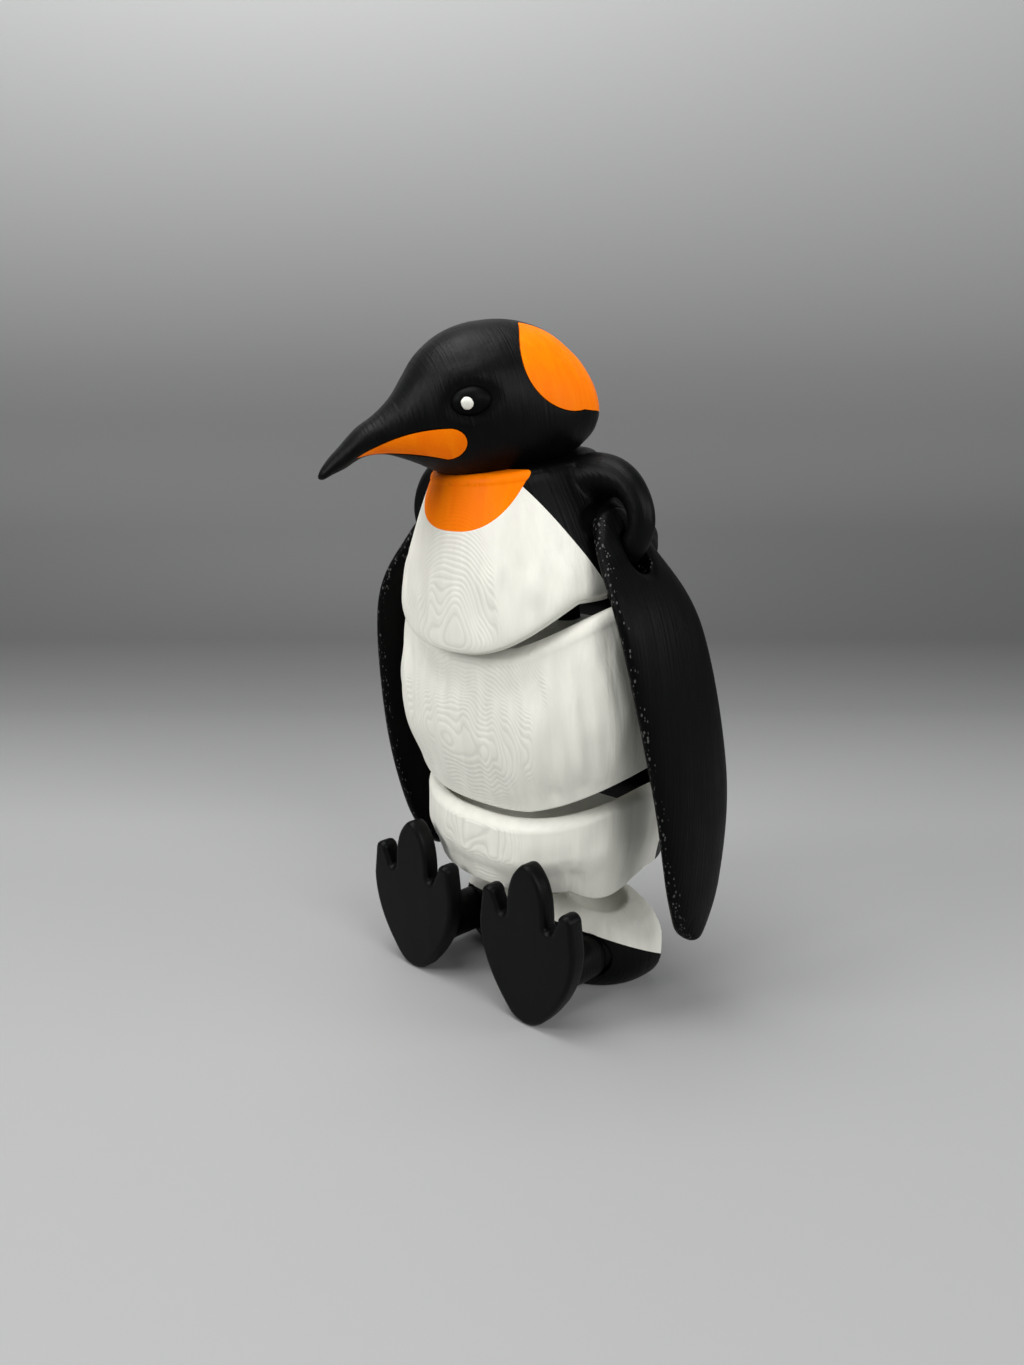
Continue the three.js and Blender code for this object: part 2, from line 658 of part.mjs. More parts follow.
function chestPieces() {
  const stemRoom = NECK_STEM_RADIUS + COLOUR_GAP;
  const stemHole = solid(postZ(stemRoom, -NECK_STEM_DEPTH - COLOUR_GAP, NECK_BALL_HEIGHT));
  const body = chestBody(0)
    .subtract(wingRoom(1))
    .subtract(wingRoom(-1))
    .subtract(eyeRoom(RIB_STEM))
    .subtract(atNeck(stemHole));
  const reach = 2 * CHEST_WIDEST;
  const mantle = (side) => halfSpace(reach, -MANTLE_BORDER, MANTLE_TILT, side);
  const overBib = (side) => {
    const half = new THREE.BoxGeometry(2 * reach, 2 * reach, reach);
    half.translate(0, 0, side * (reach + COLOUR_GAP) / 2).rotateX(BIB_TILT);
    return solid(half.translate(0, -BIB_START, NECK_HEIGHT));
  };
  const underBib = body.intersect(overBib(-1));
  const pieces = [
    piece('chest_front', underBib.intersect(mantle(FRONT)), WHITE),
    piece('chest_bib', body.intersect(overBib(1)), ORANGE),
    piece('chest_mantle', underBib.intersect(mantle(BEHIND)), BLACK),
    piece('chest_link_eye', linkEye(RIB_STEM), BLACK),
    piece('neck_stud', neckStud(), BLACK),
  ];
  for (const [name, side] of [['left', 1], ['right', -1]]) {
    const root = armRoot(side).subtract(wingRoom(side));
    const ring = shoulderRing(side).add(root).subtract(chestBody(COLOUR_GAP));
    pieces.push(piece(`shoulder_ring_${name}`, ring, BLACK));
  }
  return pieces;
}

function wingGroup(name, side) {
  const group = new THREE.Group();
  group.position.set(side * RING_SPREAD, -RING_FORWARD, RING_HEIGHT);
  group.rotation.x = -TORSO_LEAN;
  group.add(piece(name, wingBlade(side, 0).subtract(wingSlot(side)), BLACK));
  return group;
}

// Pelvis. It is a rounded block with a flat seat and a flat rear end. Its white front looks up
// because the figure sits, and its black back is the seat.
function pelvisPieces() {
  const round = reshape(ball(1, EGG_STEPS), (v) => {
    const flat = Math.hypot(v.x, v.y);
    const across = flat > 0 ? v.x / flat : 0;
    const along = flat > 0 ? v.y / flat : 0;
    v.x = PELVIS_WIDTH * squarer(flat) * squarer(across);
    v.y = PELVIS_DEPTH * squarer(flat) * squarer(along);
    v.z = PELVIS_THICKNESS * squarer(v.z);
  });
  const reach = 2 * PELVIS_WIDTH;
  const keep = block([-reach, -reach, 0], [reach, PELVIS_END, reach]);
  const slotHalf = LINK_WIDTH / 2 + SWING_GAP;
  const slotReach = EYE_OUTER + SWING_GAP;
  const slot = block([-slotHalf, -slotReach, BED_DEPTH - slotReach], [slotHalf, reach, reach]);
  let body = solid(round.translate(0, PELVIS_MIDDLE_BACK, PELVIS_MIDDLE_HEIGHT))
    .intersect(solid(keep))
    .subtract(solid(slot))
    .subtract(loopRoom(HIP_POST_DEPTH, PELVIS_THICKNESS).translate([0, 0, BED_DEPTH]));
  for (const side of [-1, 1]) {
    body = body.subtract(legSocket().translate([side * LEG_SPREAD, -LEG_BALL_FORWARD, LEG_HEIGHT]));
  }
  const border = (side) => {
    const half = new THREE.BoxGeometry(2 * reach, 2 * reach, reach);
    half.translate(0, 0, side * (reach + COLOUR_GAP) / 2).rotateX(-SEAT_BORDER_TILT);
    return solid(half.translate(0, 0, SEAT_BORDER));
  };
  return [
    piece('pelvis_front', body.intersect(border(1)), WHITE),
    piece('pelvis_seat', body.intersect(border(-1)), BLACK),
    piece('pelvis_link_loop', linkLoop(HIP_POST_DEPTH).translate([0, 0, BED_DEPTH]), BLACK),
  ];
}

// Legs. A ball in the pelvis carries a short leg and a flat three-toed foot.
function legSocket() {
  const room = LEG_RADIUS + RUNNING_GAP;
  const mouth = new THREE.CylinderGeometry(room, room, FOOT_REACH, ROUND_STEPS);
  const hollow = solid(ball(LEG_BALL_RADIUS + RUNNING_GAP, BALL_STEPS));
  return hollow.add(solid(mouth.translate(0, -FOOT_REACH / 2, 0)));
}

function footOutline() {
  const heelWidth = HEEL_RADIUS * Math.sin(HEEL_SPAN);
  const heelHeight = HEEL_RADIUS * (1 - Math.cos(HEEL_SPAN));
  const flank = heelHeight + (FOOT_HALF_WIDTH - heelWidth) * Math.tan(HEEL_SPAN);
  const toeMiddle = FOOT_HALF_WIDTH - OUTER_TOE_LEAN - OUTER_TOE_ROUND;
  const toeEnd = FOOT_WIDEST + OUTER_TOE_LENGTH;
  const notch = toeEnd - TOE_NOTCH_DEPTH;
  const footEnd = toeEnd + MIDDLE_TOE_LENGTH;
  const half = new THREE.Path();
  half.absarc(0, HEEL_RADIUS, HEEL_RADIUS, -Math.PI / 2, HEEL_SPAN - Math.PI / 2, false);
  half.quadraticCurveTo(FOOT_HALF_WIDTH, flank, FOOT_HALF_WIDTH, FOOT_WIDEST);
  half.absarc(toeMiddle, toeEnd - OUTER_TOE_ROUND, OUTER_TOE_ROUND, 0, Math.PI, false);
  half.lineTo(MIDDLE_TOE_HALF_WIDTH + TOE_NOTCH_WIDTH, notch);
  half.lineTo(MIDDLE_TOE_HALF_WIDTH, notch);
  half.quadraticCurveTo(MIDDLE_TOE_HALF_WIDTH, footEnd - MIDDLE_TOE_SHOULDER, 0, footEnd);
  const points = half.getPoints(TOE_STEPS);
  const inner = points.slice(1, -1).reverse();
  return new THREE.Shape([...points, ...inner.map((point) => new THREE.Vector2(-point.x, point.y))]);
}

function foot() {
  const sole = new THREE.ExtrudeGeometry(footOutline(), {
    depth: FOOT_THICKNESS - 2 * FOOT_BEVEL,
    bevelThickness: FOOT_BEVEL,
    bevelSize: FOOT_BEVEL,
    bevelOffset: -FOOT_BEVEL,
    bevelSegments: 1,
    curveSegments: TOE_STEPS,
  });
  sole.rotateX(Math.PI / 2).translate(0, FOOT_THICKNESS - FOOT_BEVEL - FOOT_REACH, -LEG_HEIGHT);
  const inside = FOOT_REACH - FOOT_THICKNESS / 2;
  const shank = new THREE.CylinderGeometry(LEG_RADIUS, LEG_RADIUS, inside, ROUND_STEPS);
  const leg = solid(ball(LEG_BALL_RADIUS, BALL_STEPS)).add(solid(shank.translate(0, -inside / 2, 0)));
  return leg.add(solid(sole));
}

function footGroup(name, side) {
  const group = new THREE.Group();
  group.position.set(side * LEG_SPREAD, -LEG_BALL_FORWARD, LEG_HEIGHT);
  group.add(piece(name, foot(), BLACK));
  return group;
}

// Head. Its frame stands on the middle of the neck, and it faces -Y before it is turned.
const HEAD_LIFT = STOP_GAP;

function skull(inset) {
  const round = ball(1, EGG_STEPS).rotateX(Math.PI / 2);
  return solid(reshape(round, (v) => {
    const height = v.z * ((v.z > 0 ? SKULL_TOP : SKULL_BOTTOM) - inset);
    v.x *= SKULL_WIDTH - inset;
    v.y = v.y * (SKULL_LENGTH - inset) - SKULL_FORWARD - SKULL_RAKE * height;
    v.z = SKULL_HEIGHT + height;
  }));
}

function beak(inset) {
  const cone = new THREE.CylinderGeometry(1, 1, 2, BALL_STEPS, BEAK_STEPS).rotateX(Math.PI / 2);
  return solid(reshape(cone, (v) => {
    const along = (1 - v.z) / 2;
    const draw = (1 - along) * (1 - BEAK_HOLLOW * along);
    const halfWidth = lerp(BEAK_TIP_RADIUS, BEAK_ROOT_HALF_WIDTH - inset, draw);
    const halfHeight = lerp(BEAK_TIP_RADIUS, BEAK_ROOT_HALF_HEIGHT - inset, draw);
    const rise = lerp(BEAK_ROOT_HEIGHT, BEAK_TIP_HEIGHT, along ** BEAK_HOOK);
    v.set(v.x * halfWidth, -lerp(BEAK_ROOT, BEAK_TIP - inset, along), rise - v.y * halfHeight);
  }));
}

function headForm(inset) {
  return skull(inset).add(beak(inset));
}

function earPatch(side, grow) {
  const round = new THREE.CylinderGeometry(1, 1, SKULL_WIDTH, 2 * ROUND_STEPS).rotateZ(Math.PI / 2);
  round.scale(1, EAR_LENGTH + grow, EAR_RISE + grow);
  return solid(round.translate(side * (EAR_PARTING - grow + SKULL_WIDTH / 2), EAR_BACK, EAR_HEIGHT));
}

function beakStripe(side, grow) {
  const middle = (STRIPE_START + STRIPE_END) / 2;
  const rise = STRIPE_HALF_RISE + grow;
  const outline = new THREE.Shape();
  outline.moveTo(STRIPE_END + grow, STRIPE_TIP_HEIGHT);
  outline.quadraticCurveTo(middle, STRIPE_TOP + 2 * grow, STRIPE_START, STRIPE_ROOT_HEIGHT + rise);
  outline.absarc(STRIPE_START, STRIPE_ROOT_HEIGHT, rise, Math.PI / 2, 3 * Math.PI / 2, false);
  outline.quadraticCurveTo(middle, STRIPE_BOTTOM - 2 * grow, STRIPE_END + grow, STRIPE_TIP_HEIGHT);
  const leaf = new THREE.ExtrudeGeometry(outline, {
    depth: SKULL_WIDTH,
    bevelEnabled: false,
    curveSegments: ROUND_STEPS / 2,
  });
  const sideways = new THREE.Matrix4().makeBasis(
    new THREE.Vector3(0, -1, 0),
    new THREE.Vector3(0, 0, 1),
    new THREE.Vector3(-1, 0, 0),
  );
  const middleOfLeaf = STRIPE_PARTING - grow + SKULL_WIDTH / 2;
  leaf.applyMatrix4(sideways).translate(side * middleOfLeaf + SKULL_WIDTH / 2, 0, 0);
  return solid(leaf);
}

function atEye(body, side) {
  const turned = body.rotate([0, 0, -side * THREE.MathUtils.radToDeg(EYE_TURN)]);
  return turned.translate([side * (SKULL_WIDTH - EYE_INSET), -EYE_FORWARD, EYE_HEIGHT]);
}

function eye(side, grow) {
  const round = ball(1, BALL_STEPS);
  round.scale(EYE_DEPTH + grow, EYE_HALF_LENGTH + grow, EYE_HALF_RISE + grow);
  return atEye(solid(round), side);
}

function glint(side, grow) {
  const dot = ball(1, DOT_STEPS);
  dot.scale(GLINT_DEPTH + grow, GLINT_RADIUS + grow, GLINT_RADIUS + grow);
  return atEye(solid(dot.translate(side * EYE_DEPTH, -GLINT_FORWARD, 0)), side);
}

function neckSocket() {
  const middle = NECK_BALL_HEIGHT - HEAD_LIFT;
  const hollow = solid(ball(NECK_BALL_RADIUS + RUNNING_GAP, BALL_STEPS).translate(0, 0, middle));
  return hollow.add(solid(postZ(NECK_STEM_RADIUS + RUNNING_GAP, -middle, middle)));
}

function headPieces() {
  const reach = 2 * BEAK_TIP;
  const aboveNeck = solid(block([-reach, -reach, 0], [reach, reach, reach]));
  const whole = headForm(0).intersect(aboveNeck);
  const underPatch = headForm(PATCH_DEPTH);
  const underRoom = headForm(PATCH_DEPTH + COLOUR_GAP);
  const patches = [];
  let shell = whole.subtract(neckSocket());
  for (const [name, side] of [['left', 1], ['right', -1]]) {
    shell = shell
      .subtract(earPatch(side, COLOUR_GAP).subtract(underRoom))
      .subtract(beakStripe(side, COLOUR_GAP).subtract(underRoom))
      .subtract(eye(side, COLOUR_GAP));
    patches.push(
      piece(`ear_patch_${name}`, whole.intersect(earPatch(side, 0)).subtract(underPatch), ORANGE),
      piece(`beak_stripe_${name}`, whole.intersect(beakStripe(side, 0)).subtract(underPatch), ORANGE),
      piece(`eye_${name}`, eye(side, 0).subtract(glint(side, COLOUR_GAP)), BLACK),
      piece(`eye_glint_${name}`, glint(side, 0), WHITE),
    );
  }
  return [piece('head_shell', shell, BLACK), ...patches];
}

// The figure, joint by joint from the pelvis up
const figure = new THREE.Group();
figure.add(...pelvisPieces());
figure.add(footGroup('foot_left', 1), footGroup('foot_right', -1));

const lower = new THREE.Group();
lower.position.z = BED_DEPTH;
lower.add(...lowerPieces());
figure.add(lower);

const belly = new THREE.Group();
belly.position.z = WAIST_HEIGHT;
belly.rotation.x = BELLY_LEAN;
belly.add(...bellyPieces());
lower.add(belly);

const chest = new THREE.Group();
chest.position.z = RIB_HEIGHT;
chest.rotation.x = CHEST_LEAN;
chest.add(...chestPieces());
chest.add(wingGroup('wing_left', 1), wingGroup('wing_right', -1));
belly.add(chest);

const neck = new THREE.Group();
neck.position.set(0, -NECK_FORWARD, NECK_HEIGHT);
neck.rotation.x = NECK_LEAN;
chest.add(neck);

const head = new THREE.Group();
head.position.z = HEAD_LIFT;
head.rotation.z = HEAD_TURN;
head.add(...headPieces());
neck.add(head);

export default figure;
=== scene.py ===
"""Looks of a printed, articulated penguin figure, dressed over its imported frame.

Each sub-assembly is drawn in its own frame in millimetres, facing -Y, and is then set into the
figure's frame in metres.
"""

import json
import logging
import math
from collections.abc import Callable, Iterable, Sequence
from dataclasses import dataclass, field, replace
from enum import Enum

import bmesh
import bpy
from bmesh.types import BMesh
from bpy.types import Material, Mesh, Node, NodeTree, Object
from mathutils import Euler, Matrix, Vector, noise


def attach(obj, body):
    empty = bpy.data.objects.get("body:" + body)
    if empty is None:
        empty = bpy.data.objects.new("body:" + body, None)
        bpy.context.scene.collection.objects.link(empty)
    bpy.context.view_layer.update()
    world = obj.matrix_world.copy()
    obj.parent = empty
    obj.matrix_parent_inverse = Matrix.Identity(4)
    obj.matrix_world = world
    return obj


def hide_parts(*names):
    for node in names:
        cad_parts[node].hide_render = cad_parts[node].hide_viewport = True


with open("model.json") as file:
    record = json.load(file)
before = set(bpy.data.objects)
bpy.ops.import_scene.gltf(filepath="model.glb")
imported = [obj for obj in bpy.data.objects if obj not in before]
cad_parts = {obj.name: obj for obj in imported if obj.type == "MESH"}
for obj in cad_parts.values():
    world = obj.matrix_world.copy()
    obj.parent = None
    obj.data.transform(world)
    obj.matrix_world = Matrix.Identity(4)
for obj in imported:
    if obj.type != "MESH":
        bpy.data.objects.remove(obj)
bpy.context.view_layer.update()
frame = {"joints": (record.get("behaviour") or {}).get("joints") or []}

LOG = logging.getLogger("penguin")
MM = 0.001
TURN = 2 * math.pi
SEGMENT_STEPS = 320

Point = tuple[float, float]
Triple = tuple[float, float, float]
Colour = tuple[float, float, float, float]
Placer = Callable[[Vector], Vector]


class Side(Enum):
    """The figure's two sides, as the sign of X."""

    LEFT = 1
    RIGHT = -1

    @property
    def word(self) -> str:
        """The side's name in piece and node names."""
        return self.name.lower()


class Filament(Enum):
    """Plastics that the figure is printed in, by their slots in the record."""

    BLACK = "black_plastic"
    WHITE = "white_plastic"
    ORANGE = "orange_plastic"


class Cut(Enum):
    """Ways in which one solid changes another."""

    AWAY = "DIFFERENCE"
    KEEP = "INTERSECT"
    JOIN = "UNION"


@dataclass(frozen=True)
class Seat:
    """Where a sub-assembly's own frame stands in the figure.

    Attributes:
        origin: Its origin, in metres.
        lean: How far it leans forward, in degrees.
        turn: How far it is turned about its own upright, in degrees.
        print_lean: How much further forward it leant while it was printed, in degrees.
    """

    origin: Vector
    lean: float = 0.0
    turn: float = 0.0
    print_lean: float = 0.0

    def matrix(self) -> Matrix:
        """The change from own millimetres to the figure's metres.

        Returns:
            The matrix.
        """
        leaning = Matrix.Rotation(math.radians(self.lean), 4, "X")
        turned = Matrix.Rotation(math.radians(self.turn), 4, "Z")
        return Matrix.Translation(self.origin) @ leaning @ turned @ Matrix.Scale(MM, 4)

    def print_turn(self) -> Euler:
        """The rotation that brings the figure's axes back to this frame's own."""
        printed = replace(self, lean=self.lean + self.print_lean)
        return printed.matrix().to_3x3().inverted().to_euler()


def joint_place(name: str) -> Vector:
    """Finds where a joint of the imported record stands.

    Args:
        name: The joint's name.

    Returns:
        Its position in metres.
    """
    found = next(joint for joint in frame["joints"] if joint["name"] == name)
    return Vector(found["pos_m"])


def spline(points: Sequence[Sequence[float]], share: float) -> Vector:
    """Follows a smooth line through points.

    Args:
        points: The points that the line passes through, evenly timed.
        share: How far along the line, from 0 to 1.

    Returns:
        The point there, with as many parts as the given ones.
    """
    last = len(points) - 1
    place = min(max(share, 0.0), 1.0) * last
    index = min(int(place), last - 1)
    t = place - index
    before = Vector(points[max(index - 1, 0)])
    start = Vector(points[index])
    end = Vector(points[index + 1])
    after = Vector(points[min(index + 2, last)])
    slope_in = (end - before) / 2
    slope_out = (after - start) / 2
    rise = end - start
    cubic = slope_in + slope_out - 2 * rise
    square = 3 * rise - 2 * slope_in - slope_out
    return start + t * (slope_in + t * (square + t * cubic))


def smooth_step(low: float, high: float, value: float) -> float:
    """Rises softly from 0 at low to 1 at high."""
    t = min(max((value - low) / (high - low), 0.0), 1.0)
    return t * t * (3 - 2 * t)


def signed_power(value: float, power: float) -> float:
    """Raises a size to a power and keeps its sign."""
    return math.copysign(abs(value) ** power, value)


def arc(middle: Point, radius: float, start: float, end: float, steps: int) -> list[Point]:
    """Draws part of a circle.

    Args:
        middle: Its middle.
        radius: Its radius.
        start: The first angle, in degrees.
        end: The last angle, in degrees.
        steps: How many straight steps it has.

    Returns:
        The points along it, both ends among them.
    """
    angles = [math.radians(start + (end - start) * i / steps) for i in range(steps + 1)]
    return [(middle[0] + radius * math.cos(a), middle[1] + radius * math.sin(a)) for a in angles]


def lathe(profile: Sequence[Point], steps: int) -> BMesh:
    """Spins a profile about Z into a closed shape.

    Args:
        profile: Radius and height of each point, from one pole to the other.
        steps: How many steps there are round the axis.

    Returns:
        The closed shape.
    """
    bm = bmesh.new()
    verts = [bm.verts.new((radius, 0, height)) for radius, height in profile]
    edges = [bm.edges.new(pair) for pair in zip(verts, verts[1:])]
    bmesh.ops.spin(
        bm, geom=verts + edges, cent=(0, 0, 0), axis=(0, 0, 1), angle=TURN, steps=steps, use_merge=True
    )
    bmesh.ops.remove_doubles(bm, verts=bm.verts, dist=1e-5)
    bmesh.ops.recalc_face_normals(bm, faces=bm.faces)
    return bm


def quadratic(start: Point, pull: Point, end: Point, steps: int) -> list[Point]:
    """Draws a curve from one point to another that a third one pulls on.

    Args:
        start: Where it starts.
        pull: The point that pulls on it.
        end: Where it ends.
        steps: How many straight steps it has.

    Returns:
        The points along it, both ends among them.
    """
    a, b, c = Vector(start), Vector(pull), Vector(end)
    shares = [i / steps for i in range(steps + 1)]
    return [tuple((1 - t) ** 2 * a + 2 * t * (1 - t) * b + t * t * c) for t in shares]


def tube_profile(steps: int) -> list[Point]:
    """Profile of a closed tube of radius 1 from height 0 to 1, for a skin that is reshaped."""
    return [(0, 0), *((1, i / steps) for i in range(steps + 1)), (0, 1)]


def reshape(bm: BMesh, place: Placer) -> BMesh:
    """Moves every vertex to where a function puts it.

    Args:
        bm: The shape to change.
        place: Gives a vertex's new place.

    Returns:
        The same shape.
    """
    for vert in bm.verts:
        vert.co = place(vert.co)
    bmesh.ops.recalc_face_normals(bm, faces=bm.faces)
    return bm


def block(low: Sequence[float], high: Sequence[float]) -> BMesh:
    """Makes a box.

    Args:
        low: Its lowest corner.
        high: Its highest corner.

    Returns:
        The box.
    """
    bm = bmesh.new()
    size = Vector(high) - Vector(low)
    shift = Matrix.Translation((Vector(low) + Vector(high)) / 2)
    bmesh.ops.create_cube(bm, size=1, matrix=shift @ Matrix.Diagonal((*size, 1)))
    return bm


def rod(radius: float, start: Sequence[float], end: Sequence[float], steps: int = 48) -> BMesh:
    """Makes a round rod.

    Args:
        radius: Its radius.
        start: The middle of one end.
        end: The middle of the other end.
        steps: How many sides it has.

    Returns:
        The rod.
    """
    bm = bmesh.new()
    along = Vector(end) - Vector(start)
    turned = along.to_track_quat("Z", "Y").to_matrix().to_4x4()
    place = Matrix.Translation((Vector(start) + Vector(end)) / 2) @ turned
    bmesh.ops.create_cone(
        bm,
        cap_ends=True,
        segments=steps,
        radius1=radius,
        radius2=radius,
        depth=along.length,
        matrix=place,
    )
    return bm


def ball(radii: Sequence[float], place: Matrix, steps: int = 48) -> BMesh:
    """Makes a round or oval ball.

    Args:
        radii: Its three half sizes.
        place: Where it stands and how it is turned.
        steps: How many steps there are round it.

    Returns:
        The ball.
    """
    bm = bmesh.new()
    bmesh.ops.create_uvsphere(
        bm, u_segments=steps, v_segments=steps // 2, radius=1, matrix=place @ Matrix.Diagonal((*radii, 1))
    )
    return bm


def half_space(point: Sequence[float], normal: Sequence[float], reach: float = 160) -> BMesh:
    """Makes a large block on one side of a plane.

    Args:
        point: A point in the plane.
        normal: The direction from the plane into the block.
        reach: The block's size.

    Returns:
        The block.
    """
    bm = bmesh.new()
    turned = Vector(normal).to_track_quat("Z", "Y").to_matrix().to_4x4()
    place = Matrix.Translation(Vector(point)) @ turned @ Matrix.Translation((0, 0, reach / 2))
    bmesh.ops.create_cube(bm, size=reach, matrix=place)
    return bm


def prism(outline: Sequence[Point], thickness: float) -> BMesh:
    """Extrudes an outline along Z.

    Args:
        outline: Its points in X and Y.
        thickness: The thickness, half of it below and half above.

    Returns:
        The closed prism.
    """
    bm = bmesh.new()
    verts = [bm.verts.new((x, y, -thickness / 2)) for x, y in outline]
    edges = [bm.edges.new((verts[i - 1], vert)) for i, vert in enumerate(verts)]
    faces = bmesh.ops.contextual_create(bm, geom=edges)["faces"]
    raised = bmesh.ops.extrude_face_region(bm, geom=faces, use_keep_orig=True)["geom"]
    upper = [item for item in raised if isinstance(item, bmesh.types.BMVert)]
    bmesh.ops.translate(bm, verts=upper, vec=(0, 0, thickness))
    bmesh.ops.recalc_face_normals(bm, faces=bm.faces)
    return bm


def moved(bm: BMesh, place: Matrix) -> BMesh:
    """Sets a shape in its place, and keeps its outside outside.

    Args:
        bm: The shape.
        place: Its place.

    Returns:
        The same shape.
    """
    bmesh.ops.transform(bm, matrix=place, verts=bm.verts)
    bmesh.ops.recalc_face_normals(bm, faces=bm.faces)
    return bm


def as_mesh(bm: BMesh, name: str) -> Mesh:
    """Ends a shape's making and keeps it as a mesh.

    Args:
        bm: The shape, which is used up.
        name: The mesh's name.

    Returns:
        The mesh.
    """
    mesh = bpy.data.meshes.new(name)
    bm.to_mesh(mesh)
    bm.free()
    return mesh


def settle(piece: Object) -> Mesh:
    """Applies a piece's modifiers to its mesh.

    Args:
        piece: An object with live modifiers.

    Returns:
        Its finished mesh.
    """
    bpy.context.view_layer.update()
    graph = bpy.context.evaluated_depsgraph_get()
    mesh = bpy.data.meshes.new_from_object(piece.evaluated_get(graph))
    piece.modifiers.clear()
    piece.data = mesh
    return mesh


def workpiece(mesh: Mesh) -> Object:
    """Puts a mesh into the scene as an object that can be worked on.

    Args:
        mesh: The mesh.

    Returns:
        Its object.
    """
    piece = bpy.data.objects.new(mesh.name, mesh)
    bpy.context.scene.collection.objects.link(piece)
    return piece


def carve(mesh: Mesh, cutters: Iterable[BMesh], cut: Cut) -> Mesh:
    """Cuts shapes out of a solid, keeps what they share, or joins them.

    Args:
        mesh: The solid, which is left as it is.
        cutters: The shapes to use in turn. They are used up.
        cut: What to do with them.

    Returns:
        A new mesh.
    """
    piece = workpiece(mesh.copy())
    for cutter in cutters:
        tool = workpiece(as_mesh(cutter, "cutter"))
        change = piece.modifiers.new(cut.name, "BOOLEAN")
        change.operation = cut.value
        change.solver = "MANIFOLD"
        change.object = tool
        settle(piece)
        bpy.data.objects.remove(tool)
    made = piece.data
    bpy.data.objects.remove(piece)
    return made


def soften(mesh: Mesh, grain: float, passes: int) -> Mesh:
    """Melts a solid's joins and edges together.

    Args:
        mesh: The solid, in millimetres.
        grain: Size of the grid that it is rebuilt on.
        passes: How often the new skin is smoothed.

    Returns:
        The softened mesh.
    """
    piece = workpiece(mesh)
    grid = piece.modifiers.new("grid", "REMESH")
    grid.mode = "VOXEL"
    grid.voxel_size = grain
    even = piece.modifiers.new("even", "SMOOTH")
    even.factor = 0.5
    even.iterations = passes
    made = settle(piece)
    bpy.data.objects.remove(piece)
    return made


@dataclass(frozen=True)
class Relief:
    """Soft feather modelling in a printed surface.

    Attributes:
        streak: Height of the long streaks, in millimetres.
        lump: Height of the small hills between them.
        width: Width of a streak.
        length: Length of a streak.
        sink: How far the whole modelling is lowered.
        calm: Share of the streaks that is left along the middle.
        calm_span: Where the streaks start and end to gain strength, from the middle out.
        slant: How far a streak runs sideways over its length.
        sway: Length over which the streaks sway from side to side.
        hill: Width, depth and height of a hill.
        steep: How flat a face is where the modelling ends and where it is whole.
        seed: Which part of the pattern is used.
    """

    streak: float
    lump: float
    width: float = 3.4
    length: float = 26.0
    sink: float = 0.0
    calm: float = 0.25
    calm_span: Point = (4.0, 16.0)
    slant: float = 0.07
    sway: float = 30.0
    hill: Triple = (6.0, 14.0, 11.0)
    steep: Point = (0.9, 0.55)
    seed: float = 0.0

    def height(self, place: Vector) -> float:
        """Works out the modelling's height.

        Args:
            place: A place on the surface.

        Returns:
            The height there.
        """
        sway = noise.noise(Vector((0, 0, place.z / self.sway + self.seed)))
        bent = place.x + self.slant * place.z + sway
        across = Vector((bent / self.width, place.y / self.width, place.z / self.length + self.seed))
        wide, deep, high = self.hill
        hills = Vector((place.x / wide, place.y / deep, place.z / high - self.seed))
        side = self.calm + (1 - self.calm) * smooth_step(*self.calm_span, abs(place.x))
        return self.streak * side * noise.noise(across) + self.lump * noise.noise(hills) - self.sink

    def press(self, bm: BMesh, shares: Sequence[float]) -> BMesh:
        """Raises the modelling on the sides of a shape, and leaves its flat ends.

        Args:
            bm: The shape, in its own frame.
            shares: How much of the modelling each vertex has, from 0 to 1.

        Returns:
            The same shape.
        """
        bm.normal_update()
        for vert, share in zip(bm.verts, shares):
            strength = share * smooth_step(*self.steep, abs(vert.normal.z))
            vert.co += vert.normal * self.height(vert.co) * strength
        return bm


class Nodes:
    """A node tree with short ways to add and join its nodes."""

    def __init__(self, tree: NodeTree) -> None:
        """Starts from an empty tree."""
        self.tree = tree
        tree.nodes.clear()

    def add(self, kind: str, **settings: object) -> Node:
        """Adds a node.

        Args:
            kind: Its type, without the ShaderNode in front.
            settings: Its properties.

        Returns:
            The new node.
        """
        node = self.tree.nodes.new(kind if kind.startswith("Node") else f"ShaderNode{kind}")
        for name, value in settings.items():
            setattr(node, name, value)
        return node

    def join(self, source: object, target: object) -> None:
        """Links an output to an input."""
        self.tree.links.new(source, target)

    def math(self, operation: str, first: object, second: object = None) -> object:
        """Adds a sum of one or two values.

        Args:
            operation: The Math node's operation.
            first: A number or an output.
            second: A number or an output, or nothing.

        Returns:
            The result's output.
        """
        node = self.add("Math", operation=operation)
        for socket, value in zip(node.inputs, (first, second)):
            if isinstance(value, (int, float)):
                socket.default_value = value
            elif value is not None:
                self.join(value, socket)
        return node.outputs[0]

    def rescale(self, source: object, span: Point, result: Point) -> object:
        """Brings a value from one span to another, and stops at its ends.

        Args:
            source: The value's output.
            span: The span that it comes from.
            result: The span that it goes to.

        Returns:
            The result's output.
        """
        node = self.add("MapRange", clamp=True)
        self.join(source, node.inputs["Value"])
        node.inputs["From Min"].default_value, node.inputs["From Max"].default_value = span
        node.inputs["To Min"].default_value, node.inputs["To Max"].default_value = result
        return node.outputs["Result"]


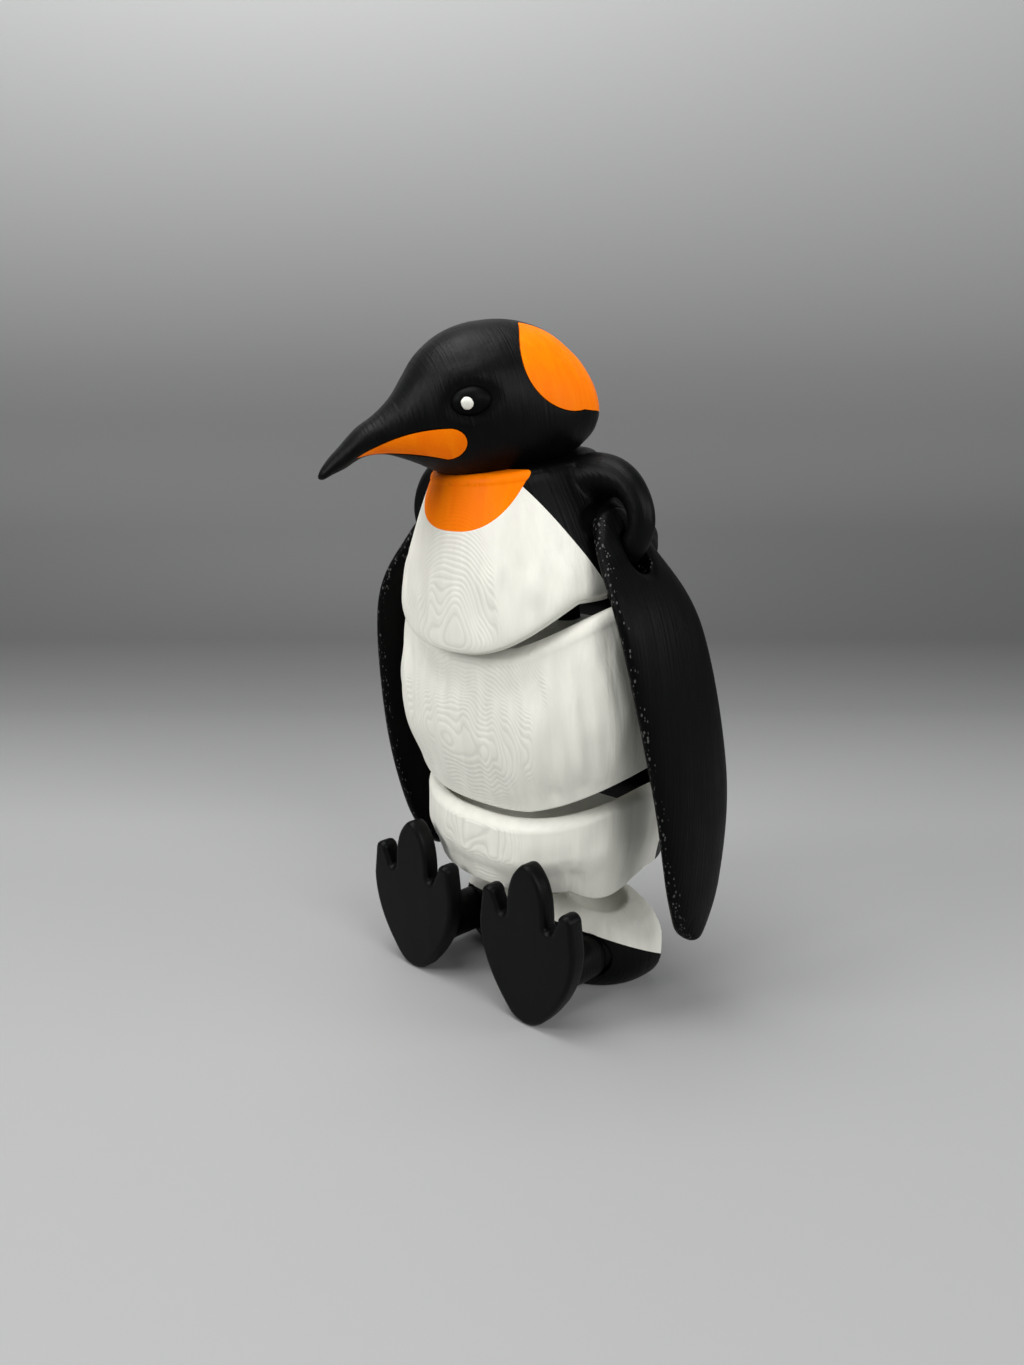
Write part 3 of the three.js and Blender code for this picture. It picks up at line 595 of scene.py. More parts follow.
class Effect:
    """A shader node group that several finishes share."""

    title = "effect"
    inputs: tuple[tuple[str, str], ...] = ()
    outputs: tuple[str, ...] = ()

    def __init__(self) -> None:
        """Builds the group once."""
        self.group = bpy.data.node_groups.new(self.title, "ShaderNodeTree")
        for name, kind in self.inputs:
            self.group.interface.new_socket(name, in_out="INPUT", socket_type=f"NodeSocket{kind}")
        for name in self.outputs:
            self.group.interface.new_socket(name, in_out="OUTPUT", socket_type="NodeSocketFloat")
        nodes = Nodes(self.group)
        start = nodes.add("NodeGroupInput")
        end = nodes.add("NodeGroupOutput")
        for name, output in self.draw(nodes, start.outputs).items():
            nodes.join(output, end.inputs[name])

    def draw(self, nodes: Nodes, given: object) -> dict[str, object]:
        """Draws the effect's nodes.

        Args:
            nodes: The group's nodes.
            given: The group's inputs.

        Returns:
            What feeds each output.
        """
        raise NotImplementedError

    def own_place(self, nodes: Nodes, given: object, output: str = "Object") -> object:
        """Turns the figure's coordinates into those of the segment as it was printed.

        Args:
            nodes: The group's nodes.
            given: The group's inputs.
            output: Which coordinates are turned.

        Returns:
            The turned coordinates.
        """
        source = nodes.add("TexCoord")
        turn = nodes.add("VectorRotate", rotation_type="EULER_XYZ")
        nodes.join(source.outputs[output], turn.inputs["Vector"])
        nodes.join(given["Print Turn"], turn.inputs["Rotation"])
        return turn.outputs["Vector"]

    def place(self, nodes: Nodes, **values: object) -> Node:
        """Places the group in a finish.

        Args:
            nodes: The finish's nodes.
            values: The group's values there, by the names of its inputs.

        Returns:
            The group's node.
        """
        node = nodes.add("Group", node_tree=self.group)
        for name, value in values.items():
            node.inputs[name.replace("_", " ")].default_value = value
        return node


class LayerLines(Effect):
    """Printed layers, stacked along the segment's own depth, with painted shade in the grooves between
    them. They spread into rings on its front.
    """

    title = "layer_lines"
    inputs = (("Print Turn", "Vector"), ("Pitch", "Float"), ("Side Strength", "Float"), ("Wander", "Float"))
    outputs = ("Height", "Groove")
    level_span: Point = (0.95, 0.997)
    groove_span: Point = (0.35, 0)
    drift_scale = 0.3
    drift_detail = 3

    def draw(self, nodes: Nodes, given: object) -> dict[str, object]:
        """Draws rounded beads one layer apart and painted shade in their grooves, strongest where a layer's
        edge runs flat.

        Args:
            nodes: The group's nodes.
            given: The group's inputs.

        Returns:
            What feeds each output.
        """
        split = nodes.add("SeparateXYZ")
        nodes.join(self.own_place(nodes, given), split.inputs[0])
        stack = nodes.math("DIVIDE", split.outputs["Y"], given["Pitch"])
        bead = nodes.math("SINE", nodes.math("MULTIPLY", stack, TURN))
        crown = nodes.math("MULTIPLY", nodes.math("ADD", bead, 1), 0.5)
        facing = nodes.add("SeparateXYZ")
        nodes.join(self.own_place(nodes, given, "Normal"), facing.inputs[0])
        level = nodes.rescale(nodes.math("ABSOLUTE", facing.outputs["Y"]), self.level_span, (0, 1))
        spread = nodes.math("SUBTRACT", 1, given["Side Strength"])
        strength = nodes.math("ADD", given["Side Strength"], nodes.math("MULTIPLY", level, spread))
        # Painted shade: a mask for darkening the colour in the grooves between layers, where they run flat.
        groove = nodes.math("MULTIPLY", nodes.rescale(crown, self.groove_span, (0, 1)), level)
        uneven = nodes.add("TexNoise", noise_dimensions="1D")
        uneven.inputs["Scale"].default_value = self.drift_scale
        uneven.inputs["Detail"].default_value = self.drift_detail
        nodes.join(stack, uneven.inputs["W"])
        drift = nodes.math("MULTIPLY", uneven.outputs[0], given["Wander"])
        beads = nodes.math("MULTIPLY", crown, strength)
        return {"Height": nodes.math("ADD", beads, drift), "Groove": groove}


class FeatherStreaks(Effect):
    """Long soft feather strokes that run down a segment, with painted shade in their hollows."""

    title = "feather_streaks"
    inputs = (("Print Turn", "Vector"), ("Scale", "Float"))
    outputs = ("Height", "Shade")
    stretch: Triple = (1, 1, 0.09)
    grains: tuple[Point, ...] = ((2.0, 1.0), (3.0, 3.1))
    distortion = 0.35
    fine_share = 0.35
    shade_span: Point = (0.35, 0.65)

    def draw(self, nodes: Nodes, given: object) -> dict[str, object]:
        """Draws two sizes of noise that is drawn out along the segment; the coarser one also sets the
        painted shade.

        Args:
            nodes: The group's nodes.
            given: The group's inputs.

        Returns:
            What feeds each output.
        """
        stretch = nodes.add("Mapping")
        stretch.inputs["Scale"].default_value = self.stretch
        nodes.join(self.own_place(nodes, given), stretch.inputs["Vector"])
        made = []
        for detail, factor in self.grains:
            grain = nodes.add("TexNoise")
            grain.inputs["Detail"].default_value = detail
            grain.inputs["Distortion"].default_value = self.distortion
            nodes.join(stretch.outputs["Vector"], grain.inputs["Vector"])
            nodes.join(nodes.math("MULTIPLY", given["Scale"], factor), grain.inputs["Scale"])
            made.append(grain.outputs[0])
        fine = nodes.math("MULTIPLY", made[1], self.fine_share)
        # The Shade output is painted shade: the colour darkens where the strokes dip.
        return {
            "Height": nodes.math("ADD", made[0], fine),
            "Shade": nodes.rescale(made[0], self.shade_span, (0, 1)),
        }


class Mottle(Effect):
    """Uneven gloss of a printed skin."""

    title = "mottle"
    inputs = (("Scale", "Float"), ("Low", "Float"), ("High", "Float"))
    outputs = ("Value",)
    detail = 4
    cloud_span: Point = (0.3, 0.7)

    def draw(self, nodes: Nodes, given: object) -> dict[str, object]:
        """Draws cloudy noise between a low and a high value.

        Args:
            nodes: The group's nodes.
            given: The group's inputs.

        Returns:
            What feeds each output.
        """
        source = nodes.add("TexCoord")
        cloud = nodes.add("TexNoise")
        cloud.inputs["Detail"].default_value = self.detail
        nodes.join(source.outputs["Object"], cloud.inputs["Vector"])
        nodes.join(given["Scale"], cloud.inputs["Scale"])
        share = nodes.rescale(cloud.outputs[0], self.cloud_span, (0, 1))
        span = nodes.math("SUBTRACT", given["High"], given["Low"])
        return {"Value": nodes.math("ADD", given["Low"], nodes.math("MULTIPLY", share, span))}


class Lint(Effect):
    """Small pale nibs of plastic, where layers end along a front edge."""

    title = "lint"
    inputs = (("Print Turn", "Vector"), ("Scale", "Float"), ("Amount", "Float"))
    outputs = ("Mask",)
    edge_span: Point = (-0.4, -0.75)
    stretch: Triple = (1, 1, 0.55)
    speck_size = 0.45

    def draw(self, nodes: Nodes, given: object) -> dict[str, object]:
        """Draws a speck in some of the cells of a cell pattern.

        Args:
            nodes: The group's nodes.
            given: The group's inputs.

        Returns:
            What feeds each output.
        """
        facing = nodes.add("SeparateXYZ")
        nodes.join(self.own_place(nodes, given, "Normal"), facing.inputs[0])
        edge = nodes.rescale(facing.outputs["Y"], self.edge_span, (0, 1))
        stretch = nodes.add("Mapping")
        stretch.inputs["Scale"].default_value = self.stretch
        nodes.join(self.own_place(nodes, given), stretch.inputs["Vector"])
        cells = nodes.add("TexVoronoi")
        nodes.join(stretch.outputs["Vector"], cells.inputs["Vector"])
        nodes.join(given["Scale"], cells.inputs["Scale"])
        pick = nodes.add("SeparateColor")
        nodes.join(cells.outputs["Color"], pick.inputs[0])
        share = nodes.math("MULTIPLY", given["Amount"], edge)
        chosen = nodes.math("LESS_THAN", pick.outputs[0], share)
        size = nodes.math("MULTIPLY", pick.outputs[1], self.speck_size)
        speck = nodes.math("LESS_THAN", cells.outputs["Distance"], size)
        return {"Mask": nodes.math("MULTIPLY", chosen, speck)}


@dataclass(frozen=True)
class Effects:
    """The shared effects, built once."""

    layers: LayerLines = field(default_factory=LayerLines)
    streaks: FeatherStreaks = field(default_factory=FeatherStreaks)
    mottle: Mottle = field(default_factory=Mottle)
    lint: Lint = field(default_factory=Lint)


@dataclass(frozen=True)
class Finish:
    """A filament's skin, as the printer leaves it, with shade painted into its hollows and grooves.

    Attributes:
        filament: The plastic's slot.
        tone: Its main colour.
        shade: Its colour in the hollows of the streaks, where shade is painted into the colour.
        gloss: Lowest and highest roughness.
        ring_height: Height of a layer's bead, in metres.
        streak_height: Height of the feather strokes, in metres.
        side_strength: How strong the layers are on steep sides.
        lint: Share of the front edge's cells that hold a speck.
        specular: How strongly it reflects.
        wander: How uneven the layers lie, in beads.
        groove_tone: What is left of the colour between two layers, as painted shade in the grooves.
        pitch: Height of a layer, in metres.
        streak_scale: How fine the feather strokes are.
        gloss_scale: How fine the uneven gloss is.
        speck_scale: How fine the specks are.
        speck_tone: Their colour.
    """

    filament: Filament
    tone: Colour
    shade: Colour
    gloss: Point
    ring_height: float
    streak_height: float
    side_strength: float
    lint: float
    specular: float
    wander: float
    groove_tone: float = 0.89
    pitch: float = 0.00022
    streak_scale: float = 330.0
    gloss_scale: float = 180.0
    speck_scale: float = 1700.0
    speck_tone: Colour = (0.075, 0.075, 0.07, 1)

    def material(self, effects: Effects, name: str, seat: Seat) -> Material:
        """Builds the skin for one segment.

        Args:
            effects: The shared effects.
            name: The material's name.
            seat: The segment's frame, along whose depth it was printed.

        Returns:
            The material.
        """
        skin = bpy.data.materials.new(name)
        skin.use_nodes = True
        nodes = Nodes(skin.node_tree)
        turn = seat.print_turn()
        layers = effects.layers.place(
            nodes, Print_Turn=turn, Pitch=self.pitch, Side_Strength=self.side_strength, Wander=self.wander
        )
        streaks = effects.streaks.place(nodes, Print_Turn=turn, Scale=self.streak_scale)
        gloss = effects.mottle.place(nodes, Scale=self.gloss_scale, Low=self.gloss[0], High=self.gloss[1])
        specks = effects.lint.place(nodes, Print_Turn=turn, Scale=self.speck_scale, Amount=self.lint)
        strokes = nodes.add("Bump")
        strokes.inputs["Distance"].default_value = self.streak_height
        nodes.join(streaks.outputs["Height"], strokes.inputs["Height"])
        rings = nodes.add("Bump")
        rings.inputs["Distance"].default_value = self.ring_height
        nodes.join(layers.outputs["Height"], rings.inputs["Height"])
        nodes.join(strokes.outputs["Normal"], rings.inputs["Normal"])
        # Painted shade: the colour goes darker in the hollows of the feather strokes.
        body = nodes.add("Mix", data_type="RGBA")
        for socket, colour in ((body.inputs[6], self.shade), (body.inputs[7], self.tone)):
            socket.default_value = colour
        nodes.join(streaks.outputs["Shade"], body.inputs[0])
        # Painted shade: the colour is darkened in the grooves between printed layers.
        groove_shaded = nodes.add("Mix", data_type="RGBA", blend_type="MULTIPLY")
        nodes.join(layers.outputs["Groove"], groove_shaded.inputs[0])
        nodes.join(body.outputs[2], groove_shaded.inputs[6])
        groove_shaded.inputs[7].default_value = (self.groove_tone,) * 3 + (1,)
        dusted = nodes.add("Mix", data_type="RGBA")
        nodes.join(groove_shaded.outputs[2], dusted.inputs[6])
        dusted.inputs[7].default_value = self.speck_tone
        nodes.join(specks.outputs["Mask"], dusted.inputs[0])
        shader = nodes.add("BsdfPrincipled")
        shader.inputs["Specular IOR Level"].default_value = self.specular
        nodes.join(dusted.outputs[2], shader.inputs["Base Color"])
        nodes.join(gloss.outputs["Value"], shader.inputs["Roughness"])
        nodes.join(rings.outputs["Normal"], shader.inputs["Normal"])
        end = nodes.add("OutputMaterial")
        nodes.join(shader.outputs[0], end.inputs["Surface"])
        return skin


BLACK = Finish(
    filament=Filament.BLACK,
    tone=(0.0019, 0.002, 0.0021, 1),
    shade=(0.0013, 0.0014, 0.0015, 1),
    gloss=(0.38, 0.47),
    ring_height=0.00004,
    streak_height=0.00013,
    side_strength=0.2,
    lint=0.0,
    specular=0.085,
    wander=2.5,
)
WHITE = Finish(
    filament=Filament.WHITE,
    tone=(0.81, 0.8, 0.72, 1),
    shade=(0.77, 0.755, 0.68, 1),
    gloss=(0.36, 0.5),
    ring_height=0.00007,
    streak_height=0.00025,
    side_strength=0.12,
    lint=0.0,
    specular=0.35,
    wander=0.5,
)
ORANGE = Finish(
    filament=Filament.ORANGE,
    tone=(1.0, 0.215, 0.0004, 1),
    shade=(0.97, 0.185, 0.0003, 1),
    gloss=(0.4, 0.54),
    ring_height=0.00003,
    streak_height=0.0002,
    side_strength=0.15,
    lint=0.0,
    specular=0.05,
    wander=1.0,
)
FLIPPER = replace(BLACK, lint=0.85, specular=0.05)
SOLE = replace(BLACK, gloss=(0.36, 0.44), streak_height=0.00003, specular=0.1)
EYE = replace(BLACK, gloss=(0.48, 0.52), streak_height=0.0, ring_height=0.0, specular=0.05)


class Workshop:
    """Turns finished meshes into pieces of the figure."""

    def __init__(self) -> None:
        """Builds the shared effects."""
        self.effects = Effects()
        self.skins: dict[tuple[Finish, str], Material] = {}

    def skin(self, finish: Finish, assembly: str, seat: Seat) -> Material:
        """Gives a sub-assembly's material of a finish, which is made once.

        Args:
            finish: The finish.
            assembly: The sub-assembly's name.
            seat: The sub-assembly's frame.

        Returns:
            The material.
        """
        key = (finish, assembly)
        if key not in self.skins:
            name = f"{finish.filament.name.lower()}_{assembly}"
            self.skins[key] = finish.material(self.effects, name, seat)
        return self.skins[key]

    def place(
        self,
        name: str,
        mesh: Mesh,
        seat: Seat,
        finish: Finish,
        body: str,
        nodes: Sequence[str],
        crease: float = 40.0,
    ) -> Object:
        """Sets a mesh into the figure, dresses it and lets it stand for its CAD nodes.

        Args:
            name: The piece's name.
            mesh: Its mesh, in its sub-assembly's own frame.
            seat: Where that frame stands.
            finish: Its plastic.
            body: The CAD body that it rides on.
            nodes: The CAD nodes that it stands for.
            crease: Bend past which an edge shows, in degrees.

        Returns:
            The finished piece.
        """
        mesh.name = name
        mesh.transform(seat.matrix())
        mesh.polygons.foreach_set("use_smooth", [True] * len(mesh.polygons))
        mesh.set_sharp_from_angle(angle=math.radians(crease))
        mesh.materials.clear()
        mesh.materials.append(self.skin(finish, body, seat))
        piece = workpiece(mesh)
        piece.name = name
        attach(piece, body)
        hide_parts(*nodes)
        LOG.info("%s: %d faces on %s", piece.name, len(mesh.polygons), body)
        return piece


@dataclass
class Links:
    """Hidden links between the torso segments: an eye that turns on the bar of a loop.

    Attributes:
        radius: Radius of a loop's bar and posts.
        wall: Wall of an eye round its bore.
        width: Width of an eye.
        running_gap: Gap between bar and bore.
        swing_gap: Gap round what swings.
        fit_gap: Gap round what is held fast.
        post_depth: How far a loop's posts go down.
        ease: Width of a broken edge.
        flat_bend: Bend up to which faces count as flat, in degrees.
        sharp_bend: Bend past which an edge is broken, in degrees.
    """

    radius: float = 3.0
    wall: float = 3.2
    width: float = 6.0
    running_gap: float = 0.45
    swing_gap: float = 1.0
    fit_gap: float = 0.05
    post_depth: float = 14.0
    ease: float = 0.4
    flat_bend: float = 1.0
    sharp_bend: float = 50.0

    @property
    def outer(self) -> float:
        """Radius of an eye outside."""
        return self.radius + self.running_gap + self.wall

    @property
    def spread(self) -> float:
        """Half of the distance between a loop's posts."""
        return self.width / 2 + self.swing_gap + self.radius

    def eye(self, stem: float) -> Mesh:
        """Makes an eye about the origin with a stem that goes up into its segment.

        Args:
            stem: Height of the stem's end.

        Returns:
            The eye.
        """
        round_part = rod(self.outer, (-self.width / 2, 0, 0), (self.width / 2, 0, 0))
        shank = block((-self.width / 2, -self.outer, 0), (self.width / 2, self.outer, stem))
        bore = rod(self.radius + self.running_gap, (-self.width, 0, 0), (self.width, 0, 0))
        body = carve(as_mesh(round_part, "eye"), [shank], Cut.JOIN)
        return self.eased(carve(body, [bore], Cut.AWAY))

    def loop(self, depth: float) -> Mesh:
        """Makes a bar along X on two posts that go down into their segment.

        Args:
            depth: How far the posts go down.

        Returns:
            The loop.
        """
        path = [(-self.spread, -depth), (-self.spread, 0), (self.spread, 0), (self.spread, -depth)]
        parts = [rod(self.radius, (a[0], 0, a[1]), (b[0], 0, b[1])) for a, b in zip(path, path[1:])]
        ends = [Matrix.Translation((x, 0, 0)) for x in (-self.spread, self.spread)]
        corners = [ball((self.radius,) * 3, end) for end in ends]
        return carve(as_mesh(parts[0], "loop"), parts[1:] + corners, Cut.JOIN)

    def eased(self, mesh: Mesh) -> Mesh:
        """Breaks a solid's sharp edges.

        Args:
            mesh: The solid.

        Returns:
            A new mesh.
        """
        bm = bmesh.new()
        bm.from_mesh(mesh)
        flat = math.radians(self.flat_bend)
        bmesh.ops.dissolve_limit(bm, angle_limit=flat, verts=bm.verts, edges=bm.edges)
        sharp = [edge for edge in bm.edges if edge.calc_face_angle(0) > math.radians(self.sharp_bend)]
        bmesh.ops.bevel(
            bm,
            geom=sharp,
            offset=self.ease,
            affect="EDGES",
            segments=2,
            profile=0.5,
            material=-1,
            clamp_overlap=True,
        )
        return as_mesh(bm, "eased")

    def loop_room(self, depth: float, above: float, height: float) -> list[BMesh]:
        """Makes room for a loop in the segment that carries it, and for the eye that swings on it.

        Args:
            depth: How far the loop's posts go down.
            above: How far the room is open upwards.
            height: Height of the loop's bar.

        Returns:
            The cutters.
        """
        snug = self.radius + self.fit_gap
        reach = self.spread + snug
        room = [block((-reach, -snug, height - snug), (reach, snug, height + above))]
        for side in Side:
            x = side.value * self.spread
            room.append(rod(snug, (x, 0, height - depth - self.fit_gap), (x, 0, height)))
        swing = self.width / 2 + self.swing_gap
        room.append(rod(self.outer + self.swing_gap, (-swing, 0, height), (swing, 0, height)))
        return room

    def eye_room(self, stem: float) -> list[BMesh]:
        """Makes room for an eye's stem in its segment, and for the loop that it turns on.

        Args:
            stem: Height of the stem's end.

        Returns:
            The cutters.
        """
        x = self.width / 2 + self.fit_gap
        y = self.outer + self.fit_gap
        reach = self.spread + self.radius + self.swing_gap
        socket = block((-x, -y, -self.outer), (x, y, stem + self.fit_gap))
        return [socket, rod(self.radius + self.swing_gap, (-reach, 0, 0), (reach, 0, 0))]


@dataclass(frozen=True)
class Lobe:
    """A pair of lobes of a segment's edge, one on each side.

    Attributes:
        depth: How far the edge is drawn out.
        middle: Where the lobe lies, in degrees from the front.
        span: How far it reaches to both sides of there, in degrees.
    """

    depth: float = 0.0
    middle: float = 90.0
    span: float = 45.0

    def at(self, angle: float) -> float:
        """How far the edge is drawn out at an angle from the front."""
        turn = min(abs(angle - self.middle) / self.span, 1)
        return self.depth * math.cos(turn * math.pi / 2)


@dataclass
class Barrel:
    """A torso segment's form: a rounded section that is deeper in front, with seams that dip there.

    Attributes:
        widths: Half widths of its side line, from the bottom up.
        heights: Their heights.
        front: Depth ahead of the links.
        bottom_drop: How far the bottom seam dips at the front.
        top_drop: How far the top seam dips there.
        top_round: Radius of its top edge.
        top_slope: Slope of its top, in degrees.
        dish: How far its top is hollowed inside its edge.
        dish_run: How wide the slope into the hollow is.
        under: Lobes of its bottom edge, drawn down.
        rim: Lobes of its top edge, drawn up.
        plain_top: How far down from its top it has no modelling.
        under_dish: How far its bottom is hollowed inside its edge.
        lip: Radius of its bottom edge.
        lip_power: How suddenly the bottom seam dips.
        seam_power: How suddenly the top seam dips.
        lobe_power: How soon the lobes fade with the distance from their edge.
        bed_depth: Depth behind the links.
        section_power: How square its section is.
        section_forward: How far its widest part lies ahead of the links.
        low_fade: Height above the bottom from which and up to which the modelling grows.
        top_fade: Height over which it fades again below the plain top.
        side_steps: Steps of the side line.
        dish_steps: Steps of each bend and of each flat end.
    """

    widths: tuple[float, ...]
    heights: tuple[float, ...]
    front: float
    bottom_drop: float
    top_drop: float
    top_round: float = 2.8
    top_slope: float = 0.0
    dish: float = 9.0
    dish_run: float = 1.2
    under: Lobe = Lobe()
    rim: Lobe = Lobe()
    plain_top: float = 1.0
    under_dish: float = 5.0
    lip: float = 1.0
    lip_power: float = 3.0
    seam_power: float = 2.0
    lobe_power: float = 3.0
    bed_depth: float = 24.0
    section_power: float = 2.5
    section_forward: float = 5.0
    low_fade: Point = (0.5, 7.0)
    top_fade: float = 9.0
    side_steps: int = 90
    dish_steps: int = 8

    @property
    def bottom(self) -> float:
        """Height of its bottom."""
        return self.heights[0] - self.lip

    @property
    def top(self) -> float:
        """Height of its top edge."""
        return self.heights[-1] + self.top_round

    def profile(self) -> list[Point]:
        """Draws half of the segment's upright section.

        Returns:
            Radius and height of each point, from the bottom's middle to the top's.
        """
        steps = self.dish_steps
        line = list(zip(self.widths, self.heights))
        side = [spline(line, i / self.side_steps) for i in range(self.side_steps + 1)]
        lip = arc((self.widths[0] - self.lip, self.bottom + self.lip), self.lip, -90, 0, 5)
        corner = (self.widths[-1] - self.top_round, self.top - self.top_round)
        edge = arc(corner, self.top_round, 0, 90, 10)
        inner = lip[0][0] - self.dish_run
        floor = [(inner * i / steps, self.bottom + self.under_dish) for i in range(steps)]
        turns = [math.pi / 2 * i / steps for i in range(steps + 1)]
        bend = [
            (inner + self.dish_run * (1 - math.cos(a)), self.bottom + self.under_dish * (1 - math.sin(a)))
            for a in turns[:-1]
        ]
        slope = [
            (edge[-1][0] - self.dish_run * math.sin(a), self.top - self.dish * (1 - math.cos(a)))
            for a in turns[1:]
        ]
        roof = [(slope[-1][0] * i / steps, slope[-1][1]) for i in range(steps - 1, -1, -1)]
        return [*floor, *bend, *lip, *(tuple(point) for point in side[1:-1]), *edge, *slope, *roof]

    def settle_point(self, co: Vector) -> Vector:
        """Moves a point of the spun profile to where the segment has it.

        Args:
            co: The point on the round lathe form.

        Returns:
            Its place on the segment.
        """
        radius = math.hypot(co.x, co.y)
        across = co.x / radius if radius else 0.0
        along = co.y / radius if radius else 0.0
        rise = (co.z - self.bottom) / (self.top - self.bottom)
        share = radius / max(self.widths)
        power = 2 / self.section_power
        half = self.front - self.section_forward if along < 0 else self.bed_depth + self.section_forward
        y = share * (half * signed_power(along, power) - self.section_forward)
        ahead = max(-y / self.front, 0)
        low_dip = self.bottom_drop * ahead**self.lip_power
        z = co.z - low_dip - (self.top_drop * ahead**self.seam_power - low_dip) * rise
        z += y * math.tan(math.radians(self.top_slope)) * rise
        angle = math.degrees(math.atan2(abs(across), -along))
        up = self.rim.at(angle) * max(rise, 0) ** self.lobe_power
        down = self.under.at(angle) * max(1 - rise, 0) ** self.lobe_power
        return Vector((radius * signed_power(across, power), y, z + (up - down) * share**2))

    def form(self, steps: int, relief: Relief) -> BMesh:
        """The segment's whole form with its modelling, which fades out towards both seams.

        Args:
            steps: How many steps there are round the segment.
            relief: The modelling.

        Returns:
            The closed form.
        """
        bm = lathe(self.profile(), steps)
        shares = [
            smooth_step(*self.low_fade, vert.co.z - self.bottom)
            * smooth_step(self.plain_top, self.plain_top + self.top_fade, self.top - vert.co.z)
            for vert in bm.verts
        ]
        return relief.press(reshape(bm, self.settle_point), shares)


@dataclass
class Torso:
    """The lower and belly segments, each with a white front, a black back and its links.

    Attributes:
        name: The segment's name.
        joint: The joint that it turns on, which is its origin.
        lean: How far it leans forward at rest, in degrees.
        barrel: Its form.
        relief: Its modelling.
        top_height: Height of the next joint above its own.
        stem: Height of its eye's stem.
        gap: How far the room for its loop is open upwards.
        border: How far the border of front and back lies behind its joint.
        links: Its links.
    """

    name: str
    joint: str
    lean: float
    barrel: Barrel
    relief: Relief
    top_height: float
    stem: float
    gap: float
    border: float = 4.0
    links: Links = field(default_factory=Links)

    def build(self, shop: Workshop) -> None:
        """Makes the segment's pieces.

        Args:
            shop: Where pieces are finished.
        """
        seat = Seat(joint_place(self.joint), self.lean)
        rooms = self.links.eye_room(self.stem)
        rooms += self.links.loop_room(self.links.post_depth, self.gap, self.top_height)
        form = as_mesh(self.barrel.form(SEGMENT_STEPS, self.relief), self.name)
        whole = carve(form, rooms, Cut.AWAY)
        for word, sign, finish in (("front", -1, WHITE), ("back", 1, BLACK)):
            part = carve(whole, [half_space((0, self.border, 0), (0, sign, 0))], Cut.KEEP)
            shop.place(f"{self.name}_{word}_skin", part, seat, finish, self.name, [f"{self.name}_{word}"])
        eye = self.links.eye(self.stem)
        shop.place(f"{self.name}_hinge_eye", eye, seat, BLACK, self.name, [f"{self.name}_link_eye"])
        loop = self.links.loop(self.links.post_depth)
        loop.transform(Matrix.Translation((0, 0, self.top_height)))
        shop.place(f"{self.name}_hinge_loop", loop, seat, BLACK, self.name, [f"{self.name}_link_loop"])


